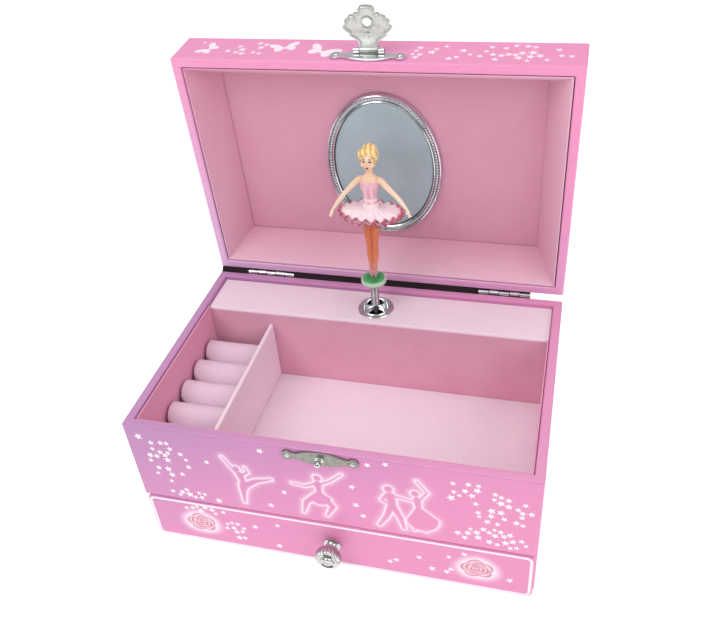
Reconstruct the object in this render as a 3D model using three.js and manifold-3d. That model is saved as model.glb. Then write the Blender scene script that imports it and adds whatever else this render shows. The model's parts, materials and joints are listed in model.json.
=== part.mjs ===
// A musical jewellery box: a paper-covered case with a drawer, a hinged lid with a mirror,
// and a dancer who turns on a spring above a wind-up movement.
// Millimetres, +Z up, +Y to the back. The origin is the centre of the case's bottom face.
import * as THREE from "three";
import { mergeVertices } from "three/addons/utils/BufferGeometryUtils.js";
import { ConvexGeometry } from "three/addons/geometries/ConvexGeometry.js";
import Module from "manifold-3d";

const wasm = await Module();
wasm.setup();

// ---------------------------------------------------------------- driving dimensions
const degrees = Math.PI / 180;

// Case
const caseWidth = 190;
const caseDepth = 124;
const baseHeight = 80;
const wall = 4.5;
const bottomThickness = 3;
const floorThickness = 3;
const glue = 0.2;              // glue line left between fixed boards
const drawerFrontHeight = 31;  // top of the drawer front above the bottom face
const reveal = 0.6;            // gap seen round the drawer front
const drawerCorner = 3;        // rounded corners of the drawer front

// Lining and the inside of the case
const liningThickness = 0.8;
const liningDrop = 1;          // top of the lining below the rim
const shelfDepth = 26.5;       // the covered space along the back
const shelfDrop = 2;           // shelf surface below the rim
const shelfThickness = 2.4;
const shelfWall = 2.2;
const dividerOffset = 41;      // divider's right face from the outside of the left wall
const dividerThickness = 2.2;
const dividerDrop = 9;         // divider's top edge below the rim
const rollCount = 5;
const rollDrop = 15.5;         // top of the ring rolls below the rim
const rollRearGap = 5.3;       // behind the last ring roll
const softGap = 0.5;           // air kept round each soft roll

// Lid
const lidHeight = 24;
const lidTopThickness = 3;
const lidGap = 0.5;            // between the closed lid and the rim
const lidOpenAngle = 86;       // degrees from closed to the hinges' own stop
const lidSlope = 10.5;         // how far the lid lining leans in at the bottom of the lid
const lidLiningLip = 0.8;      // lid lining below the lid's rim
const turned = 0.3;            // gap kept between neighbours that turn together

// Hinges
const hingeAxisSetback = 1.7;  // pin line behind the back face
const hingeInset = 30;         // hinge centres from the sides of the case
const hingeWidth = 27;
const hingeKnuckles = 5;
const knuckleRadius = 1.25;
const hingePinRadius = 0.55;
const pinClearance = 0.15;
const leafThickness = 0.8;
const leafHeight = 11;
const knuckleGap = 0.3;
const stopTongue = 4;

// Mirror
const mirrorMargin = 6;        // frame to the foot of the lining, along the lid
const mirrorAspect = 0.72;     // glass width over height
const mirrorThickness = 1.4;
const mirrorFrameWidth = 4.4;
const mirrorFrameThickness = 2.6;
const mirrorOffset = 2;        // mirror centre from the lid's middle towards the hinges

// Hasp and catch
const plateWidth = 35;
const plateHeight = 7.6;
const plateThickness = 0.9;
const catchBelowRim = 4;       // centre of the catch below the rim
const haspAboveRim = 8.2;      // hasp pin above the lid's rim
const haspSetout = 2;          // hasp pin in front of the lid's face
const haspTip = 7.6;           // from the hole to the end of the hasp
const haspWidth = 22.4;
const haspNeck = 8.4;
const haspThickness = 0.8;
const haspBarrelRadius = 1.3;
const haspPinRadius = 0.55;
const studRadius = 1.6;
const studClearance = 0.35;
const studLength = 2.4;

// Drawer
const drawerRearGap = 8;       // behind the drawer
const drawerWall = 3;
const drawerFloor = 2;
const drawerHeadroom = 5.7;    // above the drawer's sides
const drawerClearance = 1;     // each side of the drawer box
const drawerLift = 0.6;        // drawer box above the case bottom
const knobRadius = 6.4;
const knobLength = 11;

// Dancer
const spindleSetback = 13.5;   // turning axis in front of the back board
const springRise = 2;          // foot of the spring above the shelf
const springLength = 15;
const springRadius = 2.2;
const springWire = 0.7;
const foldRise = 10.4;         // bend in the spring above the shelf
const discRadius = 6.6;
const discThickness = 2.4;
const discGap = 0.4;           // spring to disc
const dancerHeight = 74;       // disc top to the crown of the head
const dancerLean = 1.4;        // degrees towards +X
const tutuHalfWidth = 15.6;
const tutuHalfDepth = 10;
const tutuHeight = 37.6;       // hem above the feet
const armSpread = 19.6;

// Grommet in the shelf
const grommetRadius = 9.4;
const grommetBore = 6.85;
const grommetTube = 7.9;
const grommetFlange = 1;
const grommetDepth = 4.6;

// Movement
const barrelShare = 0.29;      // barrel radius over the height of the space under the shelf
const trainShare = 0.38;       // height of the cylinder's axis in that space
const cylinderShare = 0.145;
const crownShare = 0.17;
const combShare = 0.24;
const barrelClear = 8.8;       // barrel's rim from the dancer's axis, level with the spindle's wheel
const arborRadius = 1.6;
const arborClearance = 1.2;
const keySetback = 4;          // key behind the back face
const keyThickness = 2;
const keySpan = 22;
const keyHeight = 12;
const cylinderStart = 12;
const cylinderLength = 20;
const shaftRadius = 1;
const shaftClearance = 0.15;
const pinionRadius = 2.8;
const toothGap = 0.3;          // between the tips of wheels that drive each other
const frameThickness = 1.6;
const combTeeth = 18;
const fanRadius = 3;
const spindleRadius = 1.2;

// Facets
const roundSteps = 20;
const fineSteps = 40;

// ---------------------------------------------------------------- derived places
const halfWidth = caseWidth / 2;
const halfDepth = caseDepth / 2;
const innerX = halfWidth - wall;
const innerY = halfDepth - wall;
const floorBottom = drawerFrontHeight + reveal / 2;
const floorTop = floorBottom + floorThickness;
const liningFloorTop = floorTop + glue + liningThickness;
const shelfTop = baseHeight - shelfDrop;
const shelfUnder = shelfTop - shelfThickness;
const shelfFrontY = innerY - shelfDepth;
const dividerRight = -halfWidth + dividerOffset;
const compartmentFront = -innerY + glue + liningThickness + glue;
const rollPitch = (shelfFrontY - rollRearGap - compartmentFront - softGap) / rollCount;
const rollRadius = (rollPitch - softGap) / 2;
const rimZ = baseHeight + lidGap;              // the closed lid's rim
const lidTopZ = rimZ + lidHeight;
const lidTopUnder = lidTopZ - lidTopThickness;
const hingeY = halfDepth + hingeAxisSetback;
const hingeZ = baseHeight + lidGap / 2;
const lidPanelUnder = lidTopUnder - turned - liningThickness;
const leafInner = halfDepth + turned;
const leafOuter = leafInner + leafThickness;
const haspY = -halfDepth - haspSetout;
const haspZ = rimZ + haspAboveRim;
const catchZ = baseHeight - catchBelowRim;
const haspReach = haspZ - catchZ;              // pin to hole, so that the hole meets the stud
const haspLength = haspReach + haspTip;

const spindleY = innerY - spindleSetback;
const springFoot = shelfTop + springRise;
const springTop = springFoot + springLength;
const foldHeight = shelfTop + foldRise;
const discHeight = springTop + discGap;
const discTop = discHeight + discThickness;

const spaceHeight = shelfUnder - floorTop;     // the room for the movement
const trainZ = floorTop + trainShare * spaceHeight;
const barrelRadius = barrelShare * spaceHeight;
const cylinderRadius = cylinderShare * spaceHeight;
const crownRadius = crownShare * spaceHeight;
const wheelLevel = crownRadius - 1.6;          // underside of the spindle's wheel above the cylinder's axis
const barrelX = -barrelClear - Math.sqrt(barrelRadius ** 2 - wheelLevel ** 2);

// ---------------------------------------------------------------- materials
function material(color, roughness, metalness = 0) {
  return new THREE.MeshStandardMaterial({ color, roughness, metalness });
}

const paper = material(0xe38fbe, 0.45);
const flock = material(0xdba3b8, 0.95);
const paleFlock = material(0xe6c3d4, 0.95);
const chrome = material(0xd4d6d8, 0.2, 1);
const steel = material(0x9a9ca0, 0.35, 1);
const brass = material(0xc9a24a, 0.3, 1);
const glass = material(0xaab2b8, 0.05, 1);
const board = material(0xb99a74, 0.8);
const green = material(0x2fa64d, 0.3);
const skin = material(0xf0c39c, 0.5);
const skirt = material(0xf5d3dc, 0.7);

// ---------------------------------------------------------------- helpers
const model = new THREE.Group();

function addTo(parent, name, geometry, surface) {
  const mesh = new THREE.Mesh(geometry, surface);
  mesh.name = name;
  parent.add(mesh);
  return mesh;
}

// A board between two values on each axis.
function slab([x0, x1], [y0, y1], [z0, z1]) {
  const geometry = new THREE.BoxGeometry(x1 - x0, y1 - y0, z1 - z0);
  return geometry.translate((x0 + x1) / 2, (y0 + y1) / 2, (z0 + z1) / 2);
}

// A round bar along an axis, centred where it is told.
function bar(axis, radius, from, to, [a, b], steps = roundSteps) {
  const geometry = new THREE.CylinderGeometry(radius, radius, to - from, steps);
  const middle = (from + to) / 2;
  if (axis === "x") return geometry.rotateZ(-Math.PI / 2).translate(middle, a, b);
  if (axis === "y") return geometry.translate(a, middle, b);
  return geometry.rotateX(Math.PI / 2).translate(a, b, middle);
}

// A turned shape about Z from a closed profile of [radius, height] points.
function turnedShape(profile, steps = roundSteps) {
  const points = profile.map(([radius, height]) => new THREE.Vector2(radius, height));
  return new THREE.LatheGeometry(points, steps).rotateX(Math.PI / 2);
}

function toManifold(geometry) {
  const bare = new THREE.BufferGeometry();
  bare.setAttribute("position", geometry.getAttribute("position").clone());
  if (geometry.index) bare.setIndex(geometry.index.clone());
  const merged = mergeVertices(bare, 1e-4);
  const position = merged.getAttribute("position").array;
  const kept = [];
  for (let i = 0; i < merged.index.count; i += 3) {
    const [a, b, c] = [0, 1, 2].map((step) => merged.index.getX(i + step));
    if (a !== b && b !== c && c !== a) kept.push(a, b, c);
  }
  if (signedVolume(position, kept) < 0) {
    for (let i = 0; i < kept.length; i += 3) {
      [kept[i + 1], kept[i + 2]] = [kept[i + 2], kept[i + 1]];
    }
  }
  const triVerts = Uint32Array.from(kept);
  return new wasm.Manifold(new wasm.Mesh({ numProp: 3, vertProperties: position, triVerts }));
}

function signedVolume(position, index) {
  let total = 0;
  const corner = [new THREE.Vector3(), new THREE.Vector3(), new THREE.Vector3()];
  for (let i = 0; i < index.length; i += 3) {
    corner.forEach((point, step) => point.fromArray(position, 3 * index[i + step]));
    total += corner[0].dot(corner[1].clone().cross(corner[2]));
  }
  return total / 6;
}

function toGeometry(manifold) {
  const mesh = manifold.getMesh();
  const geometry = new THREE.BufferGeometry();
  const position = new Float32Array(mesh.numVert * 3);
  for (let i = 0; i < mesh.numVert; i += 1) {
    for (let axis = 0; axis < 3; axis += 1) {
      position[3 * i + axis] = mesh.vertProperties[mesh.numProp * i + axis];
    }
  }
  geometry.setAttribute("position", new THREE.BufferAttribute(position, 3));
  geometry.setIndex(new THREE.BufferAttribute(new Uint32Array(mesh.triVerts), 1));
  return geometry;
}

function join(...geometries) {
  const [first, ...rest] = geometries.map(toManifold);
  return toGeometry(rest.reduce((whole, piece) => whole.add(piece), first));
}

function cut(geometry, ...tools) {
  return toGeometry(tools.map(toManifold).reduce((whole, tool) => whole.subtract(tool), toManifold(geometry)));
}

// A flat plate from an outline in X and Y, from z0 to z1.
function plate(shape, z0, z1, curveSegments = roundSteps) {
  const geometry = new THREE.ExtrudeGeometry(shape, {
    depth: z1 - z0, bevelEnabled: false, curveSegments, steps: 1,
  });
  return toGeometry(toManifold(geometry.translate(0, 0, z0)));
}

// Stands a flat plate upright: its Y becomes Z and its thickness runs towards -Y.
function stoodUp(geometry) {
  return geometry.rotateX(Math.PI / 2);
}

function outline(points) {
  return new THREE.Shape(points.map(([x, y]) => new THREE.Vector2(x, y)));
}

function roundedRectangle(x0, x1, y0, y1, radius) {
  const shape = new THREE.Shape();
  const quarter = Math.PI / 2;
  shape.absarc(x1 - radius, y0 + radius, radius, -quarter, 0);
  shape.absarc(x1 - radius, y1 - radius, radius, 0, quarter);
  shape.absarc(x0 + radius, y1 - radius, radius, quarter, 2 * quarter);
  shape.absarc(x0 + radius, y0 + radius, radius, 2 * quarter, 3 * quarter);
  return shape;
}

function ellipseShape(halfX, halfY) {
  return new THREE.Shape().absellipse(0, 0, halfX, halfY, 0, 2 * Math.PI);
}

// A wheel's outline with square-cut teeth.
function gearShape(teeth, tipRadius, toothDepth) {
  const points = [];
  for (let tooth = 0; tooth < teeth; tooth += 1) {
    for (const [part, radius] of [
      [0, tipRadius - toothDepth], [0.3, tipRadius - toothDepth], [0.4, tipRadius], [0.8, tipRadius],
    ]) {
      const angle = (2 * Math.PI * (tooth + part)) / teeth;
      points.push([radius * Math.cos(angle), radius * Math.sin(angle)]);
    }
  }
  return outline(points);
}

function gearAcross(axis, teeth, tipRadius, toothDepth, from, to, [a, b]) {
  const wheel = plate(gearShape(teeth, tipRadius, toothDepth), from, to);
  if (axis === "x") return wheel.rotateY(Math.PI / 2).translate(0, a, b);
  if (axis === "y") return wheel.rotateX(-Math.PI / 2).translate(a, 0, b);
  return wheel.translate(a, b, 0);
}

// ---------------------------------------------------------------- case
function buildCase() {
  const sideY = [-innerY + glue, innerY - glue];
  const arborHole = bar("y", arborRadius + arborClearance, innerY - glue, halfDepth + glue, [barrelX, trainZ]);
  for (const [side, sign] of [["left", -1], ["right", 1]]) {
    const faces = [sign * innerX, sign * halfWidth].sort((a, b) => a - b);
    addTo(model, `base_${side}`, slab(faces, sideY, [0, baseHeight]), paper);
  }
  const across = [-halfWidth, halfWidth];
  const back = slab(across, [innerY, halfDepth], [0, baseHeight]);
  addTo(model, "base_back", cut(back, arborHole), paper);
  const frontZ = [drawerFrontHeight + reveal / 2, baseHeight];
  addTo(model, "base_front", slab(across, [-halfDepth, -innerY], frontZ), paper);

  const inside = [-innerX + glue, innerX - glue];
  addTo(model, "base_bottom", slab(inside, sideY, [0, bottomThickness]), board);
  addTo(model, "compartment_floor", slab(inside, sideY, [floorBottom, floorTop]), board);
}

function buildLining() {
  const liningTop = baseHeight - liningDrop;
  const wallZ = [liningFloorTop + glue, liningTop];
  const frontFace = -innerY + glue + liningThickness;
  const sideY = [frontFace + glue, shelfFrontY - glue];
  for (const [side, sign] of [["left", -1], ["right", 1]]) {
    const faces = [sign * (innerX - glue), sign * (innerX - glue - liningThickness)].sort((a, b) => a - b);
    addTo(model, `lining_${side}`, slab(faces, sideY, wallZ), flock);
  }
  const inside = [-innerX + glue, innerX - glue];
  addTo(model, "lining_front", slab(inside, [-innerY + glue, frontFace], wallZ), flock);
  const floorZ = [floorTop + glue, liningFloorTop];
  addTo(model, "lining_floor", slab(inside, [-innerY + glue, shelfFrontY - glue], floorZ), paleFlock);
}

function buildShelf() {
  const inside = [-innerX + glue, innerX - glue];
  const hole = bar("z", grommetTube + glue, shelfUnder - glue, shelfTop + glue, [0, spindleY], fineSteps);
  const top = slab(inside, [shelfFrontY, innerY - glue], [shelfUnder, shelfTop]);
  addTo(model, "shelf_top", cut(top, hole), paleFlock);
  const frontY = [shelfFrontY, shelfFrontY + shelfWall];
  addTo(model, "shelf_front", slab(inside, frontY, [floorTop + glue, shelfUnder - glue]), flock);

  const rim = shelfTop + glue;
  const grommet = turnedShape([
    [grommetBore, shelfTop - grommetDepth], [grommetTube, shelfTop - grommetDepth],
    [grommetTube, rim], [grommetRadius, rim], [grommetRadius - grommetFlange / 2, rim + grommetFlange],
    [grommetBore, rim + grommetFlange], [grommetBore, shelfTop - grommetDepth],
  ], fineSteps);
  addTo(model, "spindle_grommet", toGeometry(toManifold(grommet.translate(0, spindleY, 0))), chrome);
}

function buildRingCompartment() {
  const frontY = compartmentFront;
  const dividerFoot = liningFloorTop + glue;
  const dividerX = [dividerRight - dividerThickness, dividerRight];
  const dividerZ = [dividerFoot, baseHeight - dividerDrop];
  addTo(model, "divider", slab(dividerX, [frontY, shelfFrontY - glue], dividerZ), paleFlock);

  const rollX = [-innerX + glue + liningThickness + softGap, dividerX[0] - softGap];
  const shoulder = baseHeight - rollDrop - dividerFoot - rollRadius;
  for (let roll = 0; roll < rollCount; roll += 1) {
    const profile = new THREE.Shape();
    profile.moveTo(-rollRadius, 0);
    profile.lineTo(rollRadius, 0);
    profile.lineTo(rollRadius, shoulder);
    profile.absarc(0, shoulder, rollRadius, 0, Math.PI, false);
    const middle = frontY + softGap + rollRadius + roll * rollPitch;
    const log = plate(profile, rollX[0], rollX[1], roundSteps / 2);
    log.rotateX(Math.PI / 2).rotateZ(Math.PI / 2).translate(0, middle, dividerFoot);
    addTo(model, `ring_roll_${roll + 1}`, log, paleFlock);
  }
}

// ---------------------------------------------------------------- fittings on the case
// A small fixing plate: an oval with a round ear at each end, drawn in X and Y from z0 to z1.
function fixingPlate(z0, z1) {
  const earRadius = plateHeight * 0.35;
  const earX = plateWidth / 2 - earRadius;
  const pieces = [
    plate(ellipseShape(plateWidth * 0.35, plateHeight / 2), z0, z1, roundSteps / 2),
    slab([-earX, earX], [-earRadius * 0.6, earRadius * 0.6], [z0, z1]),
  ];
  for (const sign of [-1, 1]) {
    pieces.push(bar("z", earRadius, z0, z1, [sign * earX, 0], 16));
  }
  return join(...pieces);
}

function buildCatch() {
  const face = halfDepth + glue;
  const catchPlate = stoodUp(fixingPlate(face, face + plateThickness)).translate(0, 0, catchZ);
  addTo(model, "catch_plate", catchPlate, chrome);
  const stemRadius = studRadius * 0.6;
  const stemEnd = studLength;
  const neck = Math.sqrt(studRadius ** 2 - stemRadius ** 2);
  const profile = [[0, 0], [stemRadius, 0], [stemRadius, stemEnd - neck]];
  const ballSteps = 6;
  const start = Math.asin(-neck / studRadius);
  for (let step = 1; step <= ballSteps; step += 1) {
    const angle = start + ((Math.PI / 2 - start) * step) / ballSteps;
    profile.push([studRadius * Math.cos(angle), stemEnd + studRadius * Math.sin(angle)]);
  }
  profile[profile.length - 1][0] = 0;
  const stud = turnedShape(profile).rotateX(Math.PI / 2);
  stud.translate(0, -face - plateThickness - glue, catchZ);
  addTo(model, "catch_stud", toGeometry(toManifold(stud)), chrome);
}

// ---------------------------------------------------------------- lid, drawn closed and then opened
const lid = new THREE.Group();
lid.position.set(0, hingeY, hingeZ);
lid.rotation.x = -lidOpenAngle * degrees;
model.add(lid);

// Pieces of the lid are given in the closed position and moved to the hinge line's own frame.
function addToLid(name, geometry, surface) {
  return addTo(lid, name, geometry.translate(0, -hingeY, -hingeZ), surface);
}

function buildLid() {
  const wallZ = [rimZ, lidTopUnder - turned];
  const sideY = [-innerY + turned, innerY - turned];
  for (const [side, sign] of [["left", -1], ["right", 1]]) {
    const faces = [sign * innerX, sign * halfWidth].sort((a, b) => a - b);
    addToLid(`lid_${side}`, slab(faces, sideY, wallZ), paper);
  }
  const across = [-halfWidth, halfWidth];
  addToLid("lid_front", slab(across, [-halfDepth, -innerY], wallZ), paper);
  addToLid("lid_rear", slab(across, [innerY, halfDepth], wallZ), paper);
  addToLid("lid_top", slab(across, [-halfDepth, halfDepth], [lidTopUnder, lidTopZ]), paper);
}

// A four-sided block that narrows from the lid's rim to its top panel.
function taperedBlock(rimHalfX, rimHalfY, topHalfX, topHalfY, z0, z1) {
  const corners = [];
  for (const [halfX, halfY, z] of [[rimHalfX, rimHalfY, z0], [topHalfX, topHalfY, z1]]) {
    for (const signX of [-1, 1]) {
      for (const signY of [-1, 1]) {
        corners.push(new THREE.Vector3(signX * halfX, signY * halfY, z));
      }
    }
  }
  return new ConvexGeometry(corners);
}

function buildLidLining() {
  const rimX = innerX - turned;
  const rimY = innerY - turned;
  const foot = rimZ + lidLiningLip;
  const head = lidPanelUnder - turned;
  const lean = lidSlope - turned;
  const slope = lean / (head - foot);
  const outer = taperedBlock(rimX, rimY, rimX - lean, rimY - lean, foot, head);
  const spill = slope * glue;
  const inner = taperedBlock(
    rimX - liningThickness + spill, rimY - liningThickness + spill,
    rimX - lean - liningThickness - spill, rimY - lean - liningThickness - spill, foot - glue, head + glue,
  );
  addToLid("lid_lining_walls", cut(outer, inner), flock);
  const panelX = rimX - glue;
  const panelY = rimY - glue;
  const panelZ = [lidPanelUnder, lidTopUnder - turned];
  addToLid("lid_lining_panel", slab([-panelX, panelX], [-panelY, panelY], panelZ), flock);
}

function buildMirror() {
  const centreY = mirrorOffset;
  const top = lidPanelUnder - turned;
  const panelHalfY = innerY - turned - lidSlope - liningThickness;
  const halfY = panelHalfY - mirrorMargin - mirrorFrameWidth;
  const halfX = halfY * mirrorAspect;
  const glassPlate = plate(ellipseShape(halfX, halfY), top - mirrorThickness, top, roundSteps);
  addToLid("mirror_glass", glassPlate.translate(0, centreY, 0), glass);
  const ring = ellipseShape(halfX + mirrorFrameWidth, halfY + mirrorFrameWidth);
  ring.holes.push(new THREE.Path().absellipse(0, 0, halfX + turned, halfY + turned, 0, 2 * Math.PI));
  const frame = plate(ring, top - mirrorFrameThickness, top, roundSteps);
  addToLid("mirror_frame", frame.translate(0, centreY, 0), chrome);
}

// ---------------------------------------------------------------- lid hinges
// One leaf: a plate against the back face, its knuckles and the webs that join them.
function hingeLeaf(centreX, upward, firstKnuckle) {
  const pitch = hingeWidth / hingeKnuckles;
  const left = centreX - hingeWidth / 2;
  const edge = hingeZ + upward * (knuckleRadius + turned);
  const far = hingeZ + upward * leafHeight;
  const plateZ = [edge, far].sort((a, b) => a - b);
  const pieces = [slab([left, left + hingeWidth], [leafInner, leafOuter], plateZ)];
  for (let knuckle = firstKnuckle; knuckle < hingeKnuckles; knuckle += 2) {
    const from = left + knuckle * pitch + (knuckle > 0 ? knuckleGap / 2 : 0);
    const to = left + (knuckle + 1) * pitch - (knuckle < hingeKnuckles - 1 ? knuckleGap / 2 : 0);
    const webZ = [hingeZ, edge + upward * glue].sort((a, b) => a - b);
    pieces.push(bar("x", knuckleRadius, from, to, [hingeY, hingeZ], 16));
    pieces.push(slab([from, to], [leafInner, leafOuter], webZ));
  }
  return pieces;
}

function hingeBore(centreX) {
  const reach = hingeWidth;
  return bar("x", hingePinRadius + pinClearance, centreX - reach, centreX + reach, [hingeY, hingeZ], 12);
}

function buildHinges() {
  for (const [side, sign] of [["left", -1], ["right", 1]]) {
    const centreX = sign * (halfWidth - hingeInset);
    const baseLeaf = cut(join(...hingeLeaf(centreX, -1, 0)), hingeBore(centreX));
    addTo(model, `hinge_${side}_base_leaf`, baseLeaf, chrome);

    // The tongue hangs from the lid's knuckles and meets the base leaf when the lid is fully open.
    const pitch = hingeWidth / hingeKnuckles;
    const tongueY = [leafOuter + turned, leafOuter + turned + leafThickness];
    const tongues = [1, 3].map((knuckle) => {
      const from = centreX - hingeWidth / 2 + knuckle * pitch + knuckleGap;
      const tongue = slab([from, from + pitch - 2 * knuckleGap], tongueY, [hingeZ - stopTongue, hingeZ]);
      tongue.translate(0, -hingeY, -hingeZ).rotateX(lidOpenAngle * degrees);
      return tongue.translate(0, hingeY, hingeZ);
    });
    const lidLeaf = cut(join(...hingeLeaf(centreX, 1, 1), ...tongues), hingeBore(centreX));
    addToLid(`hinge_${side}_lid_leaf`, lidLeaf, chrome);

    const pin = [centreX - hingeWidth / 2, centreX + hingeWidth / 2];
    addTo(model, `hinge_${side}_pin`, bar("x", hingePinRadius, ...pin, [hingeY, hingeZ], 12), steel);
  }
}

// ---------------------------------------------------------------- hasp on the lid
function haspEar(from, to) {
  const back = -halfDepth - turned;
  const ear = bar("x", haspBarrelRadius, from, to, [haspY, haspZ], 16);
  const foot = slab([from, to], [haspY, back - plateThickness / 2], [haspZ - haspBarrelRadius / 2, haspZ]);
  return [ear, foot];
}

function haspBore() {
  const reach = haspNeck;
  return bar("x", haspPinRadius + pinClearance, -reach, reach, [haspY, haspZ], 12);
}

function buildHasp() {
  const face = halfDepth + turned;
  const earGap = haspNeck / 2 + knuckleGap;
  const earEnd = earGap + haspBarrelRadius * 2;
  const back = stoodUp(fixingPlate(face, face + plateThickness));
  back.translate(0, 0, haspZ - plateHeight / 2 + haspBarrelRadius / 2);
  const notchY = [haspY - haspBarrelRadius, haspY + haspBarrelRadius + glue];
  const notchZ = [haspZ - haspBarrelRadius - glue, haspZ + haspBarrelRadius * 2];
  const notch = slab([-earGap, earGap], notchY, notchZ);
  const base = join(back, ...haspEar(-earEnd, -earGap), ...haspEar(earGap, earEnd));
  addToLid("hasp_base", cut(base, notch, haspBore()), chrome);
  addToLid("hasp_pin", bar("x", haspPinRadius, -earEnd, earEnd, [haspY, haspZ], 12), steel);

  // The plate stands straight out from the lid; it is drawn flat in X and Y and points to -Y.
  const neck = haspNeck / 2;
  const half = haspWidth / 2;
  const rightSide = [
    [neck, 0], [neck, 0.1], [neck * 1.16, 0.2], [half * 0.76, 0.31], [half * 0.82, 0.36], [half, 0.52],
    [half * 0.9, 0.6], [half * 0.88, 0.65], [half * 0.78, 0.74], [half * 0.62, 0.77], [half * 0.52, 0.82],
    [half * 0.38, 0.81], [half * 0.34, 0.86], [half * 0.22, 0.98], [half * 0.1, 1],
  ].map(([x, share]) => [x, -share * haspLength]);
  const leftSide = rightSide.map(([x, y]) => [-x, y]).reverse();
  const shape = outline([...rightSide, ...leftSide]);
  shape.holes.push(new THREE.Path().absarc(0, -haspReach, studRadius + studClearance, 0, 2 * Math.PI));
  const flat = plate(shape, -haspThickness / 2, haspThickness / 2, 5).translate(0, haspY, haspZ);
  const barrel = bar("x", haspBarrelRadius, -neck, neck, [haspY, haspZ], 16);
  addToLid("hasp_plate", cut(join(flat, barrel), haspBore()), chrome);
}

// ---------------------------------------------------------------- drawer
function buildDrawer() {
  const frontZ = [reveal, drawerFrontHeight - reveal / 2];
  const edgeX = halfWidth - reveal;
  const panel = roundedRectangle(-edgeX, edgeX, ...frontZ, drawerCorner);
  addTo(model, "drawer_front", stoodUp(plate(panel, innerY, halfDepth, 5)), paper);
  const outerX = innerX - drawerClearance;
  const foot = bottomThickness + drawerLift;
  const sideZ = [foot, floorBottom - drawerHeadroom];
  const rearY = innerY - drawerRearGap;
  const sideY = [-innerY + glue, rearY];
  for (const [side, sign] of [["left", -1], ["right", 1]]) {
    const faces = [sign * (outerX - drawerWall), sign * outerX].sort((a, b) => a - b);
    addTo(model, `drawer_${side}`, slab(faces, sideY, sideZ), flock);
  }
  const between = outerX - drawerWall - glue;
  addTo(model, "drawer_back", slab([-between, between], [rearY - drawerWall, rearY], sideZ), flock);
  const floorY = [sideY[0], rearY - drawerWall - glue];
  addTo(model, "drawer_floor", slab([-between, between], floorY, [foot, foot + drawerFloor]), paleFlock);

  const middle = (frontZ[0] + frontZ[1]) / 2;
  const neckRadius = knobRadius * 0.42;
  const knob = turnedShape([
    [0, 0], [knobRadius * 0.62, 0], [knobRadius * 0.62, knobLength * 0.1], [neckRadius, knobLength * 0.22],
    [neckRadius, knobLength * 0.42], [knobRadius * 0.9, knobLength * 0.52], [knobRadius, knobLength * 0.62],
    [knobRadius, knobLength * 0.8], [knobRadius * 0.8, knobLength * 0.94], [0, knobLength],
  ]);
  knob.rotateX(Math.PI / 2).translate(0, -halfDepth - glue, middle);
  addTo(model, "drawer_knob", toGeometry(toManifold(knob)), chrome);
}

// ---------------------------------------------------------------- dancer
// A tapering limb between two points.
function limb(from, to, startRadius, endRadius, steps = 10) {
  const start = new THREE.Vector3(...from);
  const end = new THREE.Vector3(...to);
  const along = end.clone().sub(start);
  const geometry = new THREE.CylinderGeometry(endRadius, startRadius, along.length(), steps);
  const turn = new THREE.Quaternion().setFromUnitVectors(new THREE.Vector3(0, 1, 0), along.normalize());
  return geometry.applyQuaternion(turn).translate(...start.add(end).multiplyScalar(0.5).toArray());
}

function ball(centre, [x, y, z], steps = 12) {
  return new THREE.SphereGeometry(1, steps, steps / 2).scale(x, y, z).translate(...centre);
}

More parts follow.
